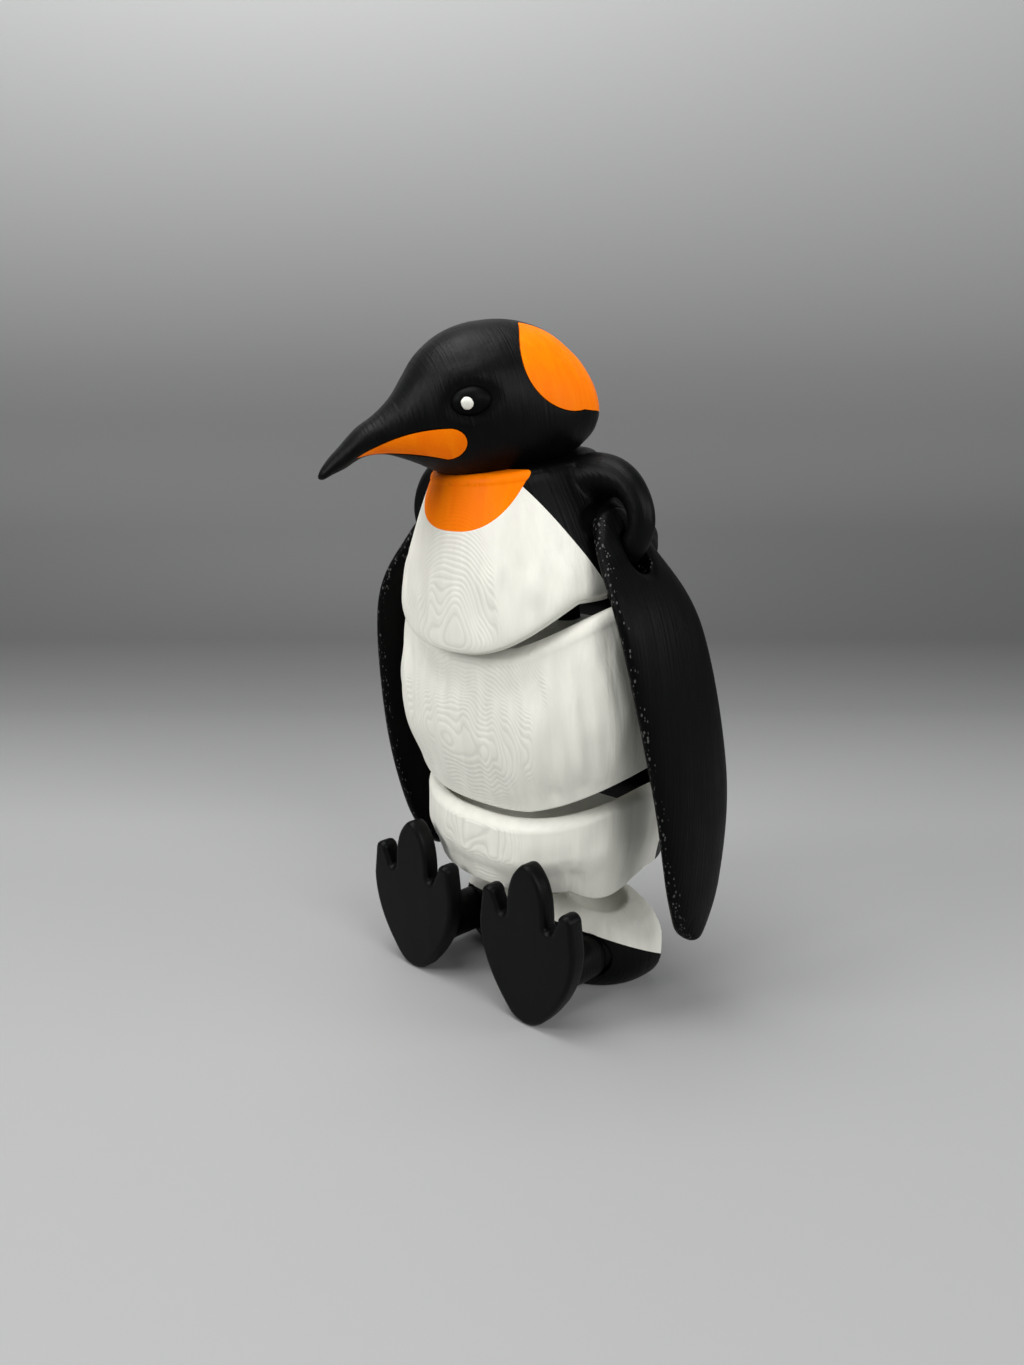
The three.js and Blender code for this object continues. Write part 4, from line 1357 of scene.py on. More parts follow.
@dataclass
class WingShape:
    """The blade of a wing, measured from the middle of its shoulder ring.

    Attributes:
        thickness: Its thickness.
        slant: How far its top end leans out, in degrees.
        ring_radius: Radius of the ring's middle line.
        ring_tube: Radius of the ring's tube.
        running_gap: Gap between ring and slot.
        eye_wall: Height of its top end above the slot.
        slot_length: How much longer than round the slot is.
        bend: A point of its middle line, below the slot.
        middle: The next one.
        low: The next one.
        tip: The last one.
        chords: Its widths along that line.
        scoop: Half sizes of the hollow round a mouth of the slot.
        scoop_lift: How far out that hollow's middle lies.
        section_power: How square its section is.
        top_round: Share of its length over which its top is rounded.
        tip_round: Share of its length over which its tip is rounded.
        end_swell: How much sooner it is thick than wide at its ends.
        steps: Steps along it and round it.
        slot_steps: Steps of each end of the slot.
    """

    thickness: float = 6.4
    slant: float = 34.0
    ring_radius: float = 9.4
    ring_tube: float = 3.3
    running_gap: float = 0.45
    eye_wall: float = 6.3
    slot_length: float = 3.0
    bend: Triple = (14.9, 2, -26)
    middle: Triple = (20.5, 7.5, -62)
    low: Triple = (20.5, 10.5, -90)
    tip: Triple = (18.5, 12, -105)
    chords: tuple[float, ...] = (9, 20, 30, 29, 20, 6.5)
    scoop: Triple = (7.0, 10.0, 3.2)
    scoop_lift: float = 5.2
    section_power: float = 2.3
    top_round: float = 0.05
    tip_round: float = 0.09
    end_swell: float = 1.3
    steps: tuple[int, int] = (110, 72)
    slot_steps: int = 16

    @property
    def down(self) -> Vector:
        """Direction of the wing's top end, on the left side."""
        slant = math.radians(self.slant)
        return Vector((math.sin(slant), 0, -math.cos(slant)))

    @property
    def slot_top(self) -> float:
        """Upper end of the slot, from the middle of the ring's tube."""
        hole = self.ring_radius - self.ring_tube
        return self.ring_radius - math.sqrt(hole**2 - (self.thickness / 2) ** 2) + self.running_gap

    def blade(self, grow: float) -> BMesh:
        """The blade without its slot, on the left side.

        Args:
            grow: How much larger than the wing it is all round.

        Returns:
            The blade.
        """
        hold = self.down * self.ring_radius
        top = hold - self.down * (self.slot_top + self.eye_wall + grow)
        line = [tuple(top), tuple(hold), self.bend, self.middle, self.low, self.tip]
        chords = [(chord, 0) for chord in self.chords]
        power = 2 / self.section_power
        near = 0.004

        def place(co: Vector) -> Vector:
            """Wraps a tube of radius 1 round the blade's middle line.

            Args:
                co: A point of the tube.

            Returns:
                Its place on the blade.
            """
            along = co.z
            here = spline(line, along)
            ahead = spline(line, along + near) - spline(line, along - near)
            outward = Vector((-ahead.z, 0, ahead.x)).normalized()
            ends = math.sqrt(max(1 - (1 - min(along / self.top_round, 1)) ** 2, 0))
            ends *= math.sqrt(max(1 - (1 - min((1 - along) / self.tip_round, 1)) ** 2, 0))
            chord = (spline(chords, along)[0] / 2) * ends + grow
            half = (self.thickness / 2) * min(ends * self.end_swell, 1) + grow
            spot = here + outward * half * signed_power(co.x, power)
            spot.y += chord * signed_power(co.y, power)
            return spot

        length_steps, round_steps = self.steps
        return reshape(lathe(tube_profile(length_steps), round_steps), place)

    def slot(self) -> BMesh:
        """Makes the long eye in the blade's top.

        Returns:
            A cutter on the left side.
        """
        radius = self.ring_tube + self.running_gap
        top = arc((0, self.slot_top - radius), radius, 0, 180, self.slot_steps)
        bottom = arc((0, -self.slot_length), radius, 180, 360, self.slot_steps)
        return moved(prism(top + bottom, 4 * self.thickness), self.slot_frame())

    def slot_frame(self) -> Matrix:
        """Finds the frame of the slot: Y points up the blade and Z out of it.

        Returns:
            The frame.
        """
        up = -self.down
        out = Vector((0, 1, 0)).cross(up)
        turn = Matrix((Vector((0, 1, 0)), up, out)).transposed().to_4x4()
        return Matrix.Translation(self.down * self.ring_radius) @ turn

    def scoops(self) -> list[BMesh]:
        """Makes shallow hollows round both mouths of the slot.

        Returns:
            The cutters.
        """
        down = -self.slot_length / 2
        lifts = [Matrix.Translation((0, down, sign * self.scoop_lift)) for sign in (1, -1)]
        return [ball(self.scoop, self.slot_frame() @ lift, 64) for lift in lifts]


MIRROR = {Side.LEFT: Matrix.Identity(4), Side.RIGHT: Matrix.Scale(-1, 4, (1, 0, 0))}


@dataclass
class Wings:
    """The two wings, which hang by their slots on the shoulder rings.

    Attributes:
        shape: The blade.
        grain: Grain of its softened skin.
        passes: How often that skin is smoothed.
        crease: Bend past which an edge shows, in degrees.
    """

    shape: WingShape = field(default_factory=WingShape)
    grain: float = 0.42
    passes: int = 12
    crease: float = 80.0

    def build(self, shop: Workshop) -> None:
        """Makes both wings.

        Args:
            shop: Where pieces are finished.
        """
        blade = as_mesh(self.shape.blade(0), "wing")
        cutters = [self.shape.slot(), *self.shape.scoops()]
        body = soften(carve(blade, cutters, Cut.AWAY), self.grain, self.passes)
        for side in Side:
            bm = bmesh.new()
            bm.from_mesh(body)
            wing = as_mesh(moved(bm, MIRROR[side]), "wing")
            name = f"wing_{side.word}"
            seat = Seat(joint_place(f"{name}_lift"))
            shop.place(f"{name}_blade", wing, seat, FLIPPER, name, [name], crease=self.crease)


@dataclass
class Chest:
    """The chest segment with its bib, mantle, shoulder rings and neck stud.

    Attributes:
        arm_start: Where an arm starts round its ring's middle, in degrees from straight out.
        arm_end: Where it ends.
        arm_sizes: Its tube's radius, its distance from the ring's middle and how far back it lies.
        root_span: Distances from the middle between which an arm's root is blended.
        room: Half sizes of the hollow beside a ring.
        swings: Lifts of the wing for which there is room, in degrees.
    """

    lean: float = 16.0
    print_lean: float = -13.0
    bottom: float = 3.47
    height: float = 26.7
    neck_round: float = 2.0
    neck_width: float = 20.2
    neck_lean: float = -4.5
    neck_forward: float = 4.5
    ring_spread: float = 28.0
    ring_forward: float = 4.0
    ring_height: float = 16.5
    arm_start: float = 205.0
    arm_end: float = -120.0
    arm_sizes: tuple[Triple, ...] = (
        (9.0, 13.6, 2.5),
        (8.0, 12.6, 2.2),
        (5.1, 9.9, 0.9),
        (3.5, 9.1, 0.1),
        (3.25, 9.3, 0.0),
        (3.3, 9.4, 0.0),
        (3.3, 9.4, 0.0),
    )
    root_span: Point = (7.0, 20.5)
    root_forward: float = 12.0
    root_low: float = 9.0
    root_passes: int = 45
    arm_steps: tuple[int, int] = (96, 40)
    room: Triple = (5.2, 8.4, 5.2)
    swings: Triple = (0, 30, 60)
    grain: float = 0.45
    passes: int = 14
    relief: Relief = Relief(streak=0.6, lump=0.45, seed=7.3)
    mantle_border: float = 12.7
    mantle_tilt: float = 11.5
    bib_start: float = 16.4
    bib_tilt: float = 40.0
    stem: float = 12.47
    stud_radius: float = 4.5
    stud_ball: float = 7.0
    stud_ball_height: float = 9.0
    stud_depth: float = 10.0
    swing_gap: float = 1.0
    wing: WingShape = field(default_factory=WingShape)
    links: Links = field(default_factory=Links)

    @property
    def neck_height(self) -> float:
        """Height of the chest's top."""
        return self.bottom + self.height

    def barrel(self) -> Barrel:
        """Describes the chest's form.

        Returns:
            The form.
        """
        return Barrel(
            widths=(31.5, 32, 25.5, self.neck_width),
            heights=(self.bottom + 1, 7, 19, self.neck_height - self.neck_round),
            front=37,
            bottom_drop=13,
            top_drop=0,
            top_round=self.neck_round,
            top_slope=self.neck_lean,
            dish=0,
            under=Lobe(5, 95, 30),
            plain_top=10,
        )

    def at_ring(self, side: Side) -> Matrix:
        """Finds the frame of a shoulder ring, which stands upright in the figure.

        Args:
            side: Which ring it is.

        Returns:
            The frame, mirrored on the right side.
        """
        place = Vector((side.value * self.ring_spread, -self.ring_forward, self.ring_height))
        upright = Matrix.Rotation(math.radians(-self.lean), 4, "X")
        return Matrix.Translation(place) @ upright @ MIRROR[side]

    def arm(self, side: Side) -> BMesh:
        """Makes an arm that comes out of the mantle, bends over the wing's top end and runs back in.

        Args:
            side: Which arm it is.

        Returns:
            The arm.
        """

        def bend(co: Vector) -> Vector:
            """Bends a straight tube of radius 1 round the ring's middle.

            Args:
                co: A point of the tube.

            Returns:
                Its place on the arm.
            """
            angle = math.radians(self.arm_start + (self.arm_end - self.arm_start) * co.z)
            tube, reach, back = spline(self.arm_sizes, co.z)
            out = reach + tube * co.x
            return Vector((out * math.cos(angle), back + tube * co.y, out * math.sin(angle)))

        length_steps, round_steps = self.arm_steps
        return moved(reshape(lathe(tube_profile(length_steps), round_steps), bend), self.at_ring(side))

    def blend_roots(self, mesh: Mesh) -> Mesh:
        """Lets the arms grow out of the mantle without a crease.

        Args:
            mesh: The chest with its arms.

        Returns:
            The same mesh, smoothed between the neck and the rings.
        """
        bm = bmesh.new()
        bm.from_mesh(mesh)
        inner, outer = self.root_span
        upper = [vert for vert in bm.verts if vert.co.z > self.root_low and vert.co.y > -self.root_forward]
        roots = [vert for vert in upper if inner < abs(vert.co.x) < outer]
        axes = {"use_axis_x": True, "use_axis_y": True, "use_axis_z": True}
        for _ in range(self.root_passes):
            bmesh.ops.smooth_vert(bm, verts=roots, factor=0.5, **axes)
        return as_mesh(bm, "chest")

    def wing_room(self, side: Side) -> list[BMesh]:
        """Makes the hollow beside a shoulder ring, in which the wing lies and its top end turns.

        Args:
            side: Which ring it is.

        Returns:
            The cutters.
        """
        place = self.at_ring(side)
        room = [ball(self.room, place)]
        for lift in self.swings:
            swung = place @ Matrix.Rotation(math.radians(-lift), 4, "Y")
            room.append(moved(self.wing.blade(self.swing_gap), swung))
        return room

    def neck_frame(self) -> Matrix:
        """The frame of the neck in the chest's."""
        place = Matrix.Translation((0, -self.neck_forward, self.neck_height))
        return place @ Matrix.Rotation(math.radians(self.neck_lean), 4, "X")

    def stud(self) -> Mesh:
        """Makes the ball on a stem that the head turns on.

        Returns:
            The stud.
        """
        angle = math.degrees(math.asin(self.stud_radius / self.stud_ball))
        top = arc((0, self.stud_ball_height), self.stud_ball, angle - 90, 90, 24)
        profile = [(0, -self.stud_depth), (self.stud_radius, -self.stud_depth), *top]
        return as_mesh(moved(lathe(profile, 48), self.neck_frame()), "stud")

    def build(self, shop: Workshop) -> None:
        """Makes the chest's pieces.

        Args:
            shop: Where pieces are finished.
        """
        seat = Seat(joint_place("rib_bend"), self.lean, print_lean=self.print_lean)
        rooms = [cutter for side in Side for cutter in self.wing_room(side)]
        rooms += self.links.eye_room(self.stem)
        whole = as_mesh(self.barrel().form(SEGMENT_STEPS, self.relief), "chest")
        whole = carve(whole, rooms, Cut.AWAY)
        arms = carve(whole, [self.arm(side) for side in Side], Cut.JOIN)
        arms = self.blend_roots(soften(arms, self.grain, self.passes))
        tilt = math.radians(self.mantle_tilt)
        bib_tilt = math.radians(self.bib_tilt)
        border = (0, -self.mantle_border, 0)
        behind = (0, math.cos(tilt), math.sin(tilt))
        collar = (0, -self.bib_start, self.neck_height)
        above = (0, -math.sin(bib_tilt), math.cos(bib_tilt))
        under = [-part for part in above]
        ahead = [-part for part in behind]
        parts = (
            ("chest_front_skin", whole, [(collar, under), (border, ahead)], WHITE, ["chest_front"]),
            ("chest_bib_skin", whole, [(collar, above)], ORANGE, ["chest_bib"]),
            (
                "chest_mantle_skin",
                arms,
                [(collar, under), (border, behind)],
                BLACK,
                ["chest_mantle", "shoulder_ring_left", "shoulder_ring_right"],
            ),
        )
        for name, form, planes, finish, nodes in parts:
            part = carve(form, [half_space(point, normal) for point, normal in planes], Cut.KEEP)
            shop.place(name, part, seat, finish, "chest", nodes)
        shop.place("chest_hinge_eye", self.links.eye(self.stem), seat, BLACK, "chest", ["chest_link_eye"])
        shop.place("neck_ball", self.stud(), seat, BLACK, "chest", ["neck_stud"])


@dataclass
class Pelvis:
    """The pelvis that the figure sits on: a white front that looks up and a black seat.

    Attributes:
        width: Half of its width.
        depth: Half of its depth.
        thickness: Half of its height, before its underside is cut flat.
        end: How far back it goes.
        border: Height of the border between front and seat, below the hip.
        hollow: Half sizes of the hollow over a leg.
        swell_power: How round its form is.
        leg_room: How far the room for a leg goes out.
        room: Size of the cutters that go past the whole pelvis.
        grain: Grain of its softened skin.
        passes: How often that skin is smoothed.
    """

    width: float = 32.5
    depth: float = 22.0
    thickness: float = 16.0
    middle_height: float = 10.0
    middle_back: float = 4.0
    end: float = 6.0
    hip_height: float = 24.0
    border: float = 10.0
    border_tilt: float = 26.0
    post_depth: float = 20.0
    hollow: Triple = (12.0, 9.5, 8.0)
    hollow_spread: float = 19.0
    hollow_back: float = -4.5
    hollow_height: float = 28.0
    leg_ball: float = 7.5
    leg_radius: float = 6.0
    leg_room: float = 40.0
    running_gap: float = 0.45
    swell_power: float = 0.8
    form_steps: int = 160
    room: float = 60.0
    grain: float = 0.5
    passes: int = 8
    links: Links = field(default_factory=Links)

    def hollow_place(self, side: Side) -> Vector:
        """Middle of the hollow in one side of the white front."""
        return Vector((side.value * self.hollow_spread, self.hollow_back, self.hollow_height))

    def socket(self, side: Side) -> list[BMesh]:
        """Makes room for a leg's ball and for the leg.

        Args:
            side: Which leg it is.

        Returns:
            The cutters.
        """
        place = joint_place(f"leg_{side.word}_turn") / MM
        room = self.leg_radius + self.running_gap
        hollow = ball((self.leg_ball + self.running_gap,) * 3, Matrix.Translation(place))
        return [hollow, rod(room, place, place + Vector((0, -self.leg_room, 0)))]

    def swell(self, co: Vector) -> Vector:
        """Swells a ball of radius 1 into the pelvis's form.

        Args:
            co: A point of the ball.

        Returns:
            Its place on the pelvis.
        """
        power = self.swell_power
        flat = math.hypot(co.x, co.y)
        across = co.x / flat if flat else 0.0
        along = co.y / flat if flat else 0.0
        wide = signed_power(flat, power)
        x = self.width * wide * signed_power(across, power)
        y = self.middle_back + self.depth * wide * signed_power(along, power)
        return Vector((x, y, self.middle_height + self.thickness * signed_power(co.z, power)))

    def build(self, shop: Workshop) -> None:
        """Makes the pelvis's pieces.

        Args:
            shop: Where pieces are finished.
        """
        seat = Seat(Vector((0, 0, 0)))
        room = self.room
        unit = ball((1, 1, 1), Matrix.Identity(4), self.form_steps)
        keep = block((-room, -room, 0), (room, self.end, room))
        whole = carve(as_mesh(reshape(unit, self.swell), "pelvis"), [keep], Cut.KEEP)
        hollows = [ball(self.hollow, Matrix.Translation(self.hollow_place(side))) for side in Side]
        whole = soften(carve(whole, hollows, Cut.AWAY), self.grain, self.passes)
        whole = carve(whole, [block((-room, -room, 0), (room, room, room))], Cut.KEEP)
        slot = self.links.width / 2 + self.links.swing_gap
        reach = self.links.outer + self.links.swing_gap
        rooms = [block((-slot, -reach, self.hip_height - reach), (slot, room, room))]
        rooms += self.links.loop_room(self.post_depth, self.thickness, self.hip_height)
        for side in Side:
            rooms += self.socket(side)
        whole = carve(whole, rooms, Cut.AWAY)
        tilt = math.radians(-self.border_tilt)
        up = Vector((0, -math.sin(tilt), math.cos(tilt)))
        for name, normal, finish, node in (
            ("pelvis_front_skin", up, WHITE, "pelvis_front"),
            ("pelvis_seat_skin", -up, BLACK, "pelvis_seat"),
        ):
            part = carve(whole, [half_space((0, 0, self.border), normal)], Cut.KEEP)
            shop.place(name, part, seat, finish, "pelvis", [node])
        loop = self.links.loop(self.post_depth)
        loop.transform(Matrix.Translation((0, 0, self.hip_height)))
        shop.place("hip_hinge_loop", loop, seat, BLACK, "pelvis", ["pelvis_link_loop"])


@dataclass
class Feet:
    """The two legs, each one piece of ball, leg and flat three-toed foot.

    Attributes:
        reach: Distance from the ball's middle to the sole.
        drop: How far the heel lies below the leg's middle.
        widest: Height of the foot's widest part above its heel.
        heel_span: How far round the heel's curve goes, in degrees.
        shoulder: Share of the middle toe's half width, and drop from its end, of its bend.
        collar_end: Where the ball goes over into the leg, in degrees.
        shank: Share of the leg's radius, and distance from the ball, along the leg.
        flare: Share of that radius at the sole.
    """

    ball: float = 7.5
    radius: float = 6.0
    reach: float = 32.5
    thickness: float = 5.0
    bevel: float = 1.1
    drop: float = 10.0
    half_width: float = 16.0
    widest: float = 24.0
    heel: float = 8.0
    heel_span: float = 45.0
    toe_lean: float = 1.0
    toe_round: float = 2.2
    toe_end: float = 33.6
    notch: float = 27.4
    notch_width: float = 2.8
    middle_toe: float = 6.4
    foot_end: float = 42.8
    shoulder: Point = (0.55, 2.6)
    rise_drop: float = 6.0
    point_share: float = 0.25
    inset: float = 0.25
    collar_end: float = 50.0
    shank: tuple[Point, ...] = ((1.0, 8.0), (1.0, 12.0), (0.97, 18.0), (1.05, 25.0))
    flare: float = 1.25
    crease: float = 32.0

    def outline(self) -> list[Point]:
        """Draws the foot's outline, seen from in front, with its heel at the origin.

        Returns:
            The outline's corners.
        """
        span = math.radians(self.heel_span)
        heel = arc((0, self.heel), self.heel, -90, self.heel_span - 90, 8)
        flank = heel[-1][1] + (self.half_width - heel[-1][0]) * math.tan(span)
        side = quadratic(heel[-1], (self.half_width, flank), (self.half_width, self.widest), 12)
        tip = (self.half_width - self.toe_lean - self.toe_round, self.toe_end - self.toe_round)
        toe = arc(tip, self.toe_round, 0, 180, 12)
        bend = self.notch_width / 2
        valley = arc((self.middle_toe + bend, self.notch + bend), bend, 0, -180, 8)
        share, drop = self.shoulder
        shoulder = (self.middle_toe * share, self.foot_end - drop)
        rise = quadratic(valley[-1], (self.middle_toe, self.foot_end - self.rise_drop), shoulder, 8)
        pull = (self.middle_toe * self.point_share, self.foot_end)
        point = quadratic(shoulder, pull, (0, self.foot_end), 6)
        half = heel + side[1:] + toe + valley + rise[1:] + point[1:]
        return half + [(-x, y) for x, y in half[-2:0:-1]]

    def sole(self) -> BMesh:
        """Makes the flat foot with eased edges, in the leg's frame.

        Returns:
            The foot.
        """
        bm = prism(self.outline(), self.thickness)
        rims = [edge for edge in bm.edges if abs(edge.verts[0].co.z - edge.verts[1].co.z) < 1e-6]
        bmesh.ops.bevel(
            bm,
            geom=rims,
            offset=self.bevel,
            affect="EDGES",
            segments=3,
            profile=0.5,
            material=-1,
            clamp_overlap=True,
        )
        flats = [face for face in bm.faces if abs(face.normal.z) > 0.999]
        bmesh.ops.inset_individual(bm, faces=flats, thickness=self.inset, depth=0)
        turn = Matrix.Rotation(math.radians(90), 4, "X")
        return moved(bm, Matrix.Translation((0, self.thickness / 2 - self.reach, -self.drop)) @ turn)

    def build(self, shop: Workshop) -> None:
        """Makes both feet.

        Args:
            shop: Where pieces are finished.
        """
        inside = self.reach - self.thickness / 2
        collar = [(0, -self.ball), *arc((0, 0), self.ball, -90, self.collar_end, 20)]
        shank = [(self.radius * share, height) for share, height in self.shank]
        profile = [*collar, *shank, (self.radius * self.flare, inside), (0, inside)]
        upright = Matrix.Rotation(math.radians(90), 4, "X")
        leg = as_mesh(moved(lathe(profile, 56), upright), "leg")
        whole = carve(leg, [self.sole()], Cut.JOIN)
        for side in Side:
            body = f"leg_{side.word}"
            foot = f"foot_{side.word}"
            seat = Seat(joint_place(f"{body}_turn"))
            shop.place(f"{foot}_sole", whole.copy(), seat, SOLE, body, [foot], crease=self.crease)


@dataclass
class Head:
    """The head: a black shell with its beak, orange patches and eyes.

    Attributes:
        stations: Distance forward, lowest height, height of the widest part, top height and half
            width of each section, from the back of the head to the tip of the beak.
        steps: Steps along the head and round it.
        narrowest: Share of a section's half width by which it is made narrower at most.
        flattest: Least half height of a section.
        beak_fade: Where the modelling starts and ends before the beak.
        groove: Gap round a patch.
        ear_parting: Distance of the patch from the head's middle.
        stripe_start: Middle of the stripe's round end.
        stripe_end: Its point, towards the beak's tip.
        socket_behind: How far inside an eye its socket goes.
        socket_reach: Distance from an eye's middle up to which the skin is changed.
        socket_tilt: Slope of the socket's long axis.
        socket_taper: How much lower the socket gets towards its corners.
        socket_edge: Where its dent starts and where it is full, as shares of its size.
        brow: How far the brow stands out.
        eye_gap: Gap round an eye.
        cutter_length: Length of a patch's cutter.
        blob: How uneven a glint is.
        blob_scale: How close its bumps lie.
        blob_seed: Where its noise is read.
    """

    stations: tuple[tuple[float, ...], ...] = (
        (-23.6, 7.6, 8.4, 9.2, 0.4),
        (-22.9, 5.2, 9.2, 14.6, 4.9),
        (-21.0, 3.0, 9.8, 18.9, 8.9),
        (-17.6, 0.6, 10.3, 23.6, 12.9),
        (-11.4, -2.4, 11.0, 29.2, 16.9),
        (-4.0, -4.1, 11.5, 32.4, 19.0),
        (4.0, -4.3, 11.8, 33.3, 19.2),
        (10.0, -3.4, 12.0, 32.7, 18.1),
        (15.0, -1.8, 12.2, 31.0, 16.3),
        (19.7, 0.8, 12.2, 28.0, 13.6),
        (23.4, 3.2, 12.0, 24.1, 10.9),
        (27.4, 5.4, 11.7, 19.8, 8.6),
        (32.0, 7.3, 11.4, 16.6, 6.8),
        (37.0, 7.5, 10.9, 14.2, 5.2),
        (41.6, 5.8, 8.4, 10.9, 4.0),
        (44.8, 4.9, 6.7, 8.6, 3.0),
        (47.0, 4.2, 5.4, 6.6, 1.8),
        (48.0, 4.5, 4.9, 5.3, 0.3),
    )
    lean: float = 11.5
    turn: float = -24.0
    lift: float = 0.4
    patch_depth: float = 2.0
    groove: float = 0.22
    ear_back: float = 14.0
    ear_height: float = 22.5
    ear_length: float = 14.3
    ear_rise: float = 12.0
    ear_low: float = 6.5
    ear_parting: float = 5.0
    stripe_parting: float = 1.5
    stripe_start: Point = (-19.5, 8.2)
    stripe_end: Point = (-39.0, 8.0)
    stripe_half_rise: float = 3.6
    stripe_top: float = 12.5
    stripe_bottom: float = 8.3
    eye_forward: float = 13.2
    eye_height: float = 16.9
    eye_spread: float = 14.6
    eye_turn: float = 19.0
    eye_depth: float = 2.8
    eye_length: float = 4.7
    eye_rise: float = 3.4
    glint_radius: float = 1.4
    glint_depth: float = 0.8
    glint_forward: float = 1.1
    neck_ball: float = 7.0
    neck_ball_height: float = 9.0
    neck_stem: float = 4.5
    running_gap: float = 0.45
    steps: tuple[int, int] = (150, 128)
    narrowest: float = 0.8
    flattest: float = 0.05
    relief: Relief = Relief(streak=0.14, lump=0.1, width=2.6, length=15, calm=1, seed=21.7)
    beak_fade: Point = (-28.0, -12.0)
    socket_behind: float = 5.0
    socket_reach: float = 16.0
    socket_length: float = 6.4
    socket_rise: float = 4.6
    socket_tilt: float = 0.1
    socket_taper: float = 0.9
    socket_edge: Point = (1.2, 0.5)
    socket_depth: float = 0.9
    brow: float = 0.5
    brow_height: float = 5.8
    brow_rise: float = 2.4
    brow_length: float = 7.5
    eye_gap: float = 0.1
    eye_steps: int = 64
    glint_steps: int = 40
    cutter_length: float = 24.0
    blob: float = 0.09
    blob_scale: float = 0.9
    blob_seed: Triple = (3, 1, 4)

    def form(self, inset: float) -> BMesh:
        """Draws the head's skin through its sections.

        Args:
            inset: How far inside the real skin it lies.

        Returns:
            The closed form, which still goes below the neck.
        """

        def place(co: Vector) -> Vector:
            """Wraps a tube of radius 1 round the head's sections.

            Args:
                co: A point of the tube.

            Returns:
                Its place on the head.
            """
            forward, low, middle, top, half = spline(self.stations, co.z)
            shrink = min(inset, half * self.narrowest)
            up = max(top - middle - inset, self.flattest)
            down = max(middle - low - inset, self.flattest)
            height = middle + co.y * (up if co.y > 0 else down)
            return Vector((co.x * (half - shrink), -forward, height))

        length_steps, round_steps = self.steps
        return reshape(lathe(tube_profile(length_steps), round_steps), place)

    def eye_frame(self, side: Side) -> Matrix:
        """Finds the frame of an eye: X looks out of it.

        Args:
            side: Which eye it is.

        Returns:
            The frame.
        """
        place = Vector((side.value * self.eye_spread, -self.eye_forward, self.eye_height))
        turn = Matrix.Rotation(math.radians(-side.value * self.eye_turn), 4, "Z")
        return Matrix.Translation(place) @ turn

    def sockets(self, bm: BMesh) -> BMesh:
        """Presses an almond-shaped socket round each eye, with a brow over it.

        Args:
            bm: The head's skin, which is changed.

        Returns:
            The same skin.
        """
        bm.normal_update()
        for side in Side:
            to_eye = self.eye_frame(side).inverted()
            for vert in bm.verts:
                spot = to_eye @ vert.co
                if side.value * spot.x < -self.socket_behind or spot.length > self.socket_reach:
                    continue
                length = spot.y / self.socket_length
                half_rise = self.socket_rise - self.socket_taper * abs(length)
                rise = (spot.z - self.socket_tilt * spot.y) / half_rise
                dent = smooth_step(*self.socket_edge, math.hypot(length, rise))
                above = (spot.z - self.brow_height) / self.brow_rise
                brow = math.exp(-(above**2) - (spot.y / self.brow_length) ** 2)
                vert.co += vert.normal * (self.brow * brow - self.socket_depth * dent)
        return bm

    def ear_patch(self, side: Side, grow: float) -> BMesh:
        """Makes a long cutter of an ear patch's outline, which runs on round the back.

        Args:
            side: Which patch it is.
            grow: How much larger than the patch it is all round.

        Returns:
            The cutter.
        """
        length = self.ear_length + grow
        rise = self.ear_rise + grow
        front = [
            (self.ear_back - length * math.sin(a), self.ear_height + rise * math.cos(a))
            for a in (math.pi * i / 48 for i in range(49))
        ]
        end = self.ear_back + length
        outline = [*front, (end, self.ear_low - grow), (end, front[0][1])]
        return self.sideways(outline, side, self.ear_parting - grow)

    def stripe(self, side: Side, grow: float) -> BMesh:
        """Makes a long cutter of a beak stripe's outline.

        Args:
            side: Which stripe it is.
            grow: How much larger than the stripe it is all round.

        Returns:
            The cutter.
        """
        middle = (self.stripe_start[0] + self.stripe_end[0]) / 2
        tip = (self.stripe_end[0] - grow, self.stripe_end[1])
        end = arc(self.stripe_start, self.stripe_half_rise + grow, 90, -90, 12)
        top = quadratic(tip, (middle, self.stripe_top + 2 * grow), end[0], 20)
        bottom = quadratic(end[-1], (middle, self.stripe_bottom - 2 * grow), tip, 20)
        return self.sideways(top + end[1:] + bottom[1:-1], side, self.stripe_parting - grow)

    def sideways(self, outline: Sequence[Point], side: Side, start: float) -> BMesh:
        """Stands an outline of depth and height up and pulls it out to one side.

        Args:
            outline: The outline.
            side: The side that it is pulled out to.
            start: Distance from the head's middle at which it starts.

        Returns:
            The cutter.
        """
        turn = Matrix(((0, 0, 1, 0), (1, 0, 0, 0), (0, 1, 0, 0), (0, 0, 0, 1)))
        shift = Matrix.Translation((side.value * (start + self.cutter_length / 2), 0, 0))
        return moved(prism(outline, self.cutter_length), shift @ turn)

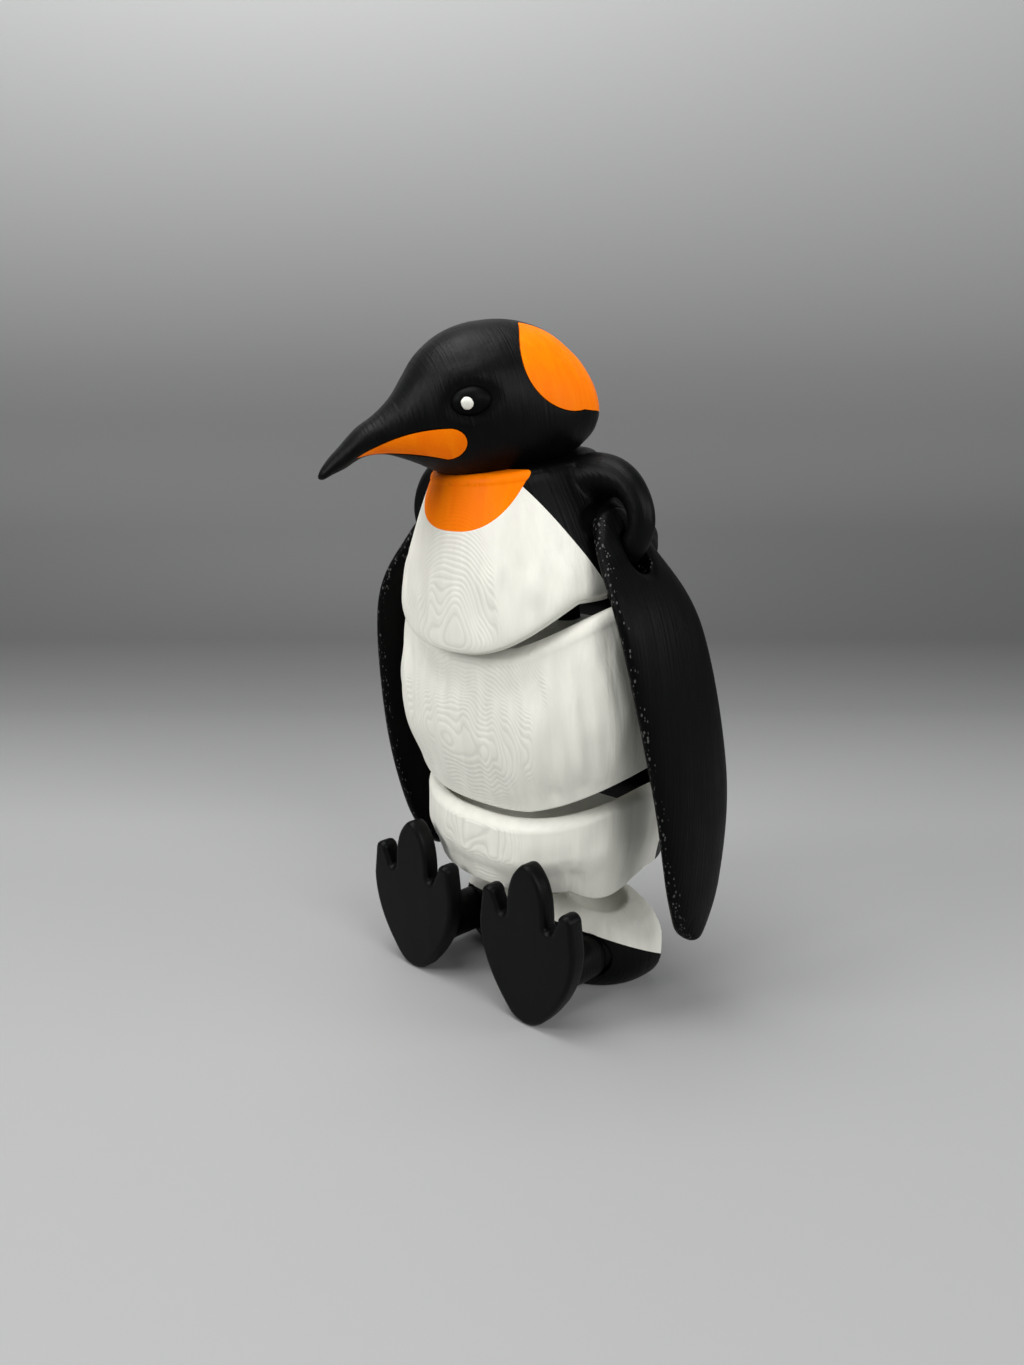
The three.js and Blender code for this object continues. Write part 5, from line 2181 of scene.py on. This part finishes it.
    def build(self, shop: Workshop) -> None:
        """Makes the head's pieces.

        Args:
            shop: Where pieces are finished.
        """
        axis = Matrix.Rotation(math.radians(self.lean), 3, "X") @ Vector((0, 0, 1))
        seat = Seat(joint_place("head_turn") + axis * self.lift * MM, self.lean, self.turn)
        keep = [half_space((0, 0, 0), (0, 0, 1))]
        skin = self.form(0)
        shares = [smooth_step(*self.beak_fade, vert.co.y) for vert in skin.verts]
        whole = carve(as_mesh(self.sockets(self.relief.press(skin, shares)), "head"), keep, Cut.KEEP)
        middle = self.neck_ball_height - self.lift
        hollow = ball((self.neck_ball + self.running_gap,) * 3, Matrix.Translation((0, 0, middle)))
        throat = rod(self.neck_stem + self.running_gap, (0, 0, -middle), (0, 0, middle))
        shell = carve(whole, [hollow, throat], Cut.AWAY)
        inlays = (("ear", self.ear_patch, "ear_patch"), ("beak_stripe", self.stripe, "beak_stripe"))
        for side in Side:
            for word, draw, node in inlays:
                under = as_mesh(draw(side, self.groove), "under")
                room = carve(under, [self.form(self.patch_depth + self.groove)], Cut.AWAY)
                tool = bmesh.new()
                tool.from_mesh(room)
                shell = carve(shell, [tool], Cut.AWAY)
                patch = carve(whole, [draw(side, 0)], Cut.KEEP)
                patch = carve(patch, [self.form(self.patch_depth)], Cut.AWAY)
                name = f"{word}_{side.word}_inlay"
                shop.place(name, patch, seat, ORANGE, "head", [f"{node}_{side.word}"])
            self.eye(shop, seat, side)
            sizes = [size + self.eye_gap for size in (self.eye_depth, self.eye_length, self.eye_rise)]
            shell = carve(shell, [ball(sizes, self.eye_frame(side), self.eye_steps)], Cut.AWAY)
        shop.place("head_shell_skin", shell, seat, BLACK, "head", ["head_shell"])

    def eye(self, shop: Workshop, seat: Seat, side: Side) -> None:
        """Makes an eye and its glint.

        Args:
            shop: Where pieces are finished.
            seat: The head's frame.
            side: Which eye it is.
        """
        place = self.eye_frame(side)
        sizes = (self.eye_depth, self.eye_length, self.eye_rise)
        dome = as_mesh(ball(sizes, place, self.eye_steps), "eye")
        spot = place @ Matrix.Translation((side.value * self.eye_depth, -self.glint_forward, 0))
        radii = (self.glint_depth, self.glint_radius, self.glint_radius)
        dome = carve(dome, [ball(radii, spot, self.glint_steps)], Cut.AWAY)
        shop.place(f"eye_{side.word}_dome", dome, seat, EYE, "head", [f"eye_{side.word}"])
        dot = reshape(ball(radii, Matrix.Identity(4), self.glint_steps), self.uneven)
        glint = as_mesh(moved(dot, spot), "glint")
        shop.place(f"eye_{side.word}_glint_dot", glint, seat, WHITE, "head", [f"eye_glint_{side.word}"])

    def uneven(self, co: Vector) -> Vector:
        """Makes a printed dot's outline a little uneven."""
        return co * (1 + self.blob * noise.noise(co * self.blob_scale + Vector(self.blob_seed)))


@dataclass(frozen=True)
class Lamp:
    """A soft light that looks at the figure's middle.

    Attributes:
        name: Its name.
        place: Where it stands, in metres.
        size: Length of its square face.
        power: Its power in watts.
    """

    name: str
    place: Triple
    size: float
    power: float

    def hang(self, aim: Triple) -> None:
        """Adds the light to the scene.

        Args:
            aim: The point that it looks at.
        """
        lamp = bpy.data.lights.new(self.name, "AREA")
        lamp.shape = "SQUARE"
        lamp.size = self.size
        lamp.energy = self.power
        holder = bpy.data.objects.new(self.name, lamp)
        holder.location = self.place
        ray = Vector(aim) - Vector(self.place)
        holder.rotation_euler = ray.to_track_quat("-Z", "Y").to_euler()
        bpy.context.scene.collection.objects.link(holder)


@dataclass
class Studio:
    """A pale floor that runs up into a backdrop, with light and shade painted along it, soft lights and the
    camera.

    Attributes:
        azimuth: Where the camera stands, in degrees to the figure's left of straight ahead.
        pitch: How far it looks down, in degrees.
        place: Its place, in metres.
        lens: Its lens, in millimetres.
        sensor: Width of its sensor, in millimetres.
        near: Distance from which it sees things.
        floor_reach: How far the floor reaches.
        bend_start: Distance at which the floor starts to run up.
        bend_radius: Radius of that bend.
        wall_height: Height of the backdrop.
        paper_tones: Distance along the paper from the figure, and the tone there, which paints the light
            and shade that fall on the paper.
        paper_green: Share of green in a tone.
        paper_roughness: Roughness of the paper.
        lamps: The lights.
        aim: What they look at.
        sky: Colour of the room's light.
        sky_strength: Its strength.
    """

    azimuth: float = 44.0
    pitch: float = 13.0
    place: Triple = (0.1806, -0.2065, 0.1420)
    lens: float = 27.06
    sensor: float = 36.0
    near: float = 0.01
    floor_reach: float = 7.0
    bend_start: float = 0.27
    bend_radius: float = 0.16
    wall_height: float = 1.8
    paper_tones: tuple[Point, ...] = (
        (0.1, 0.33),
        (0.26, 0.225),
        (0.33, 0.14),
        (0.38, 0.088),
        (0.5, 0.095),
        (0.62, 0.16),
        (0.84, 0.39),
    )
    paper_green: float = 1.01
    paper_roughness: float = 0.6
    lamps: tuple[Lamp, ...] = (
        Lamp("overhead", (-0.1, -0.15, 0.8), 0.5, 5.6),
        Lamp("front_left", (-0.3, -0.75, 0.5), 0.4, 4.4),
        Lamp("right", (0.75, -0.2, 0.5), 0.4, 3.4),
        Lamp("rear", (0.6, 0.35, 0.3), 0.3, 1.6),
    )
    aim: Triple = (0, -0.01, 0.09)
    sky: Colour = (0.9, 0.95, 1, 1)
    sky_strength: float = 0.14

    def sweep(self) -> None:
        """Makes the floor and the backdrop behind the figure."""
        bm = bmesh.new()
        bend = arc((self.bend_start, self.bend_radius), self.bend_radius, -90, 0, 24)
        profile = [(-self.floor_reach, 0), *bend, (self.bend_start + self.bend_radius, self.wall_height)]
        verts = [bm.verts.new((-self.floor_reach, y, z)) for y, z in profile]
        edges = [bm.edges.new(pair) for pair in zip(verts, verts[1:])]
        made = bmesh.ops.extrude_edge_only(bm, edges=edges)["geom"]
        drawn = [item for item in made if isinstance(item, bmesh.types.BMVert)]
        bmesh.ops.translate(bm, verts=drawn, vec=(2 * self.floor_reach, 0, 0))
        bmesh.ops.rotate(bm, verts=bm.verts, matrix=Matrix.Rotation(math.radians(self.azimuth), 3, "Z"))
        bmesh.ops.recalc_face_normals(bm, faces=bm.faces)
        mesh = as_mesh(bm, "floor")
        mesh.polygons.foreach_set("use_smooth", [True] * len(mesh.polygons))
        mesh.materials.append(self.paper())
        workpiece(mesh)

    def paper(self) -> Material:
        """Makes the paper, whose tone changes with the distance from the figure to paint the light and
        shade on it.

        Returns:
            The material.
        """
        paper = bpy.data.materials.new("pale_paper")
        paper.use_nodes = True
        nodes = Nodes(paper.node_tree)
        place = nodes.add("TexCoord")
        square = nodes.add("VectorRotate", rotation_type="Z_AXIS")
        square.inputs["Angle"].default_value = math.radians(-self.azimuth)
        nodes.join(place.outputs["Object"], square.inputs["Vector"])
        split = nodes.add("SeparateXYZ")
        nodes.join(square.outputs["Vector"], split.inputs[0])
        shader = nodes.add("BsdfPrincipled")
        # Painted light and shade: the paper is lighter near the figure and high on the backdrop, and
        # darkest round the bend.
        painted_light_ramp = nodes.add("ValToRGB")
        ramp = painted_light_ramp.color_ramp.elements
        while len(ramp) < len(self.paper_tones):
            ramp.new(0.5)
        for stop, (position, tone) in zip(ramp, self.paper_tones):
            stop.position = position
            stop.color = (tone, tone * self.paper_green, tone, 1)
        nodes.join(nodes.math("ADD", split.outputs["Y"], split.outputs["Z"]), painted_light_ramp.inputs[0])
        nodes.join(painted_light_ramp.outputs[0], shader.inputs["Base Color"])
        shader.inputs["Roughness"].default_value = self.paper_roughness
        nodes.join(shader.outputs[0], nodes.add("OutputMaterial").inputs["Surface"])
        return paper

    def camera(self) -> None:
        """Sets the camera at the photograph's viewing angle."""
        data = bpy.data.cameras.new("camera")
        data.lens = self.lens
        data.sensor_width = self.sensor
        data.clip_start = self.near
        holder = bpy.data.objects.new("camera", data)
        holder.location = self.place
        holder.rotation_euler = (math.radians(90 - self.pitch), 0, math.radians(self.azimuth))
        bpy.context.scene.collection.objects.link(holder)
        bpy.context.scene.camera = holder

    def build(self) -> None:
        """Sets up the studio."""
        self.camera()
        self.sweep()
        for lamp in self.lamps:
            lamp.hang(self.aim)
        world = bpy.data.worlds.new("room")
        world.use_nodes = True
        background = world.node_tree.nodes["Background"]
        background.inputs["Color"].default_value = self.sky
        background.inputs["Strength"].default_value = self.sky_strength
        bpy.context.scene.world = world
        bpy.context.scene.view_settings.view_transform = "Standard"


def main() -> None:
    """Builds the figure's sub-assemblies in order and sets up the studio."""
    logging.basicConfig(level=logging.INFO, format="%(message)s")
    Studio().build()
    shop = Workshop()
    Pelvis().build(shop)
    Feet().build(shop)
    Torso(
        name="lower",
        joint="hip_fold",
        lean=0.0,
        barrel=Barrel(
            widths=(31, 34.5, 34),
            heights=(11, 21.75, 30.7),
            front=33.5,
            bottom_drop=6,
            top_drop=9,
            under=Lobe(5, 70, 24),
        ),
        relief=Relief(streak=0.5, lump=0.45, sink=0.9, seed=2.1),
        top_height=36.507,
        stem=19.0,
        gap=6.0,
    ).build(shop)
    Torso(
        name="belly",
        joint="waist_bend",
        lean=8.0,
        barrel=Barrel(
            widths=(38.5, 41.5, 37.5),
            heights=(4.0, 25.05, 44.3),
            front=35,
            bottom_drop=9,
            top_drop=13,
            under=Lobe(-4, 90, 70),
            rim=Lobe(4, 60, 40),
        ),
        relief=Relief(streak=0.6, lump=0.6, seed=4.6),
        top_height=50.57,
        stem=12.0,
        gap=6.9,
    ).build(shop)
    Chest().build(shop)
    Wings().build(shop)
    Head().build(shop)


if __name__ == "__main__":
    main()
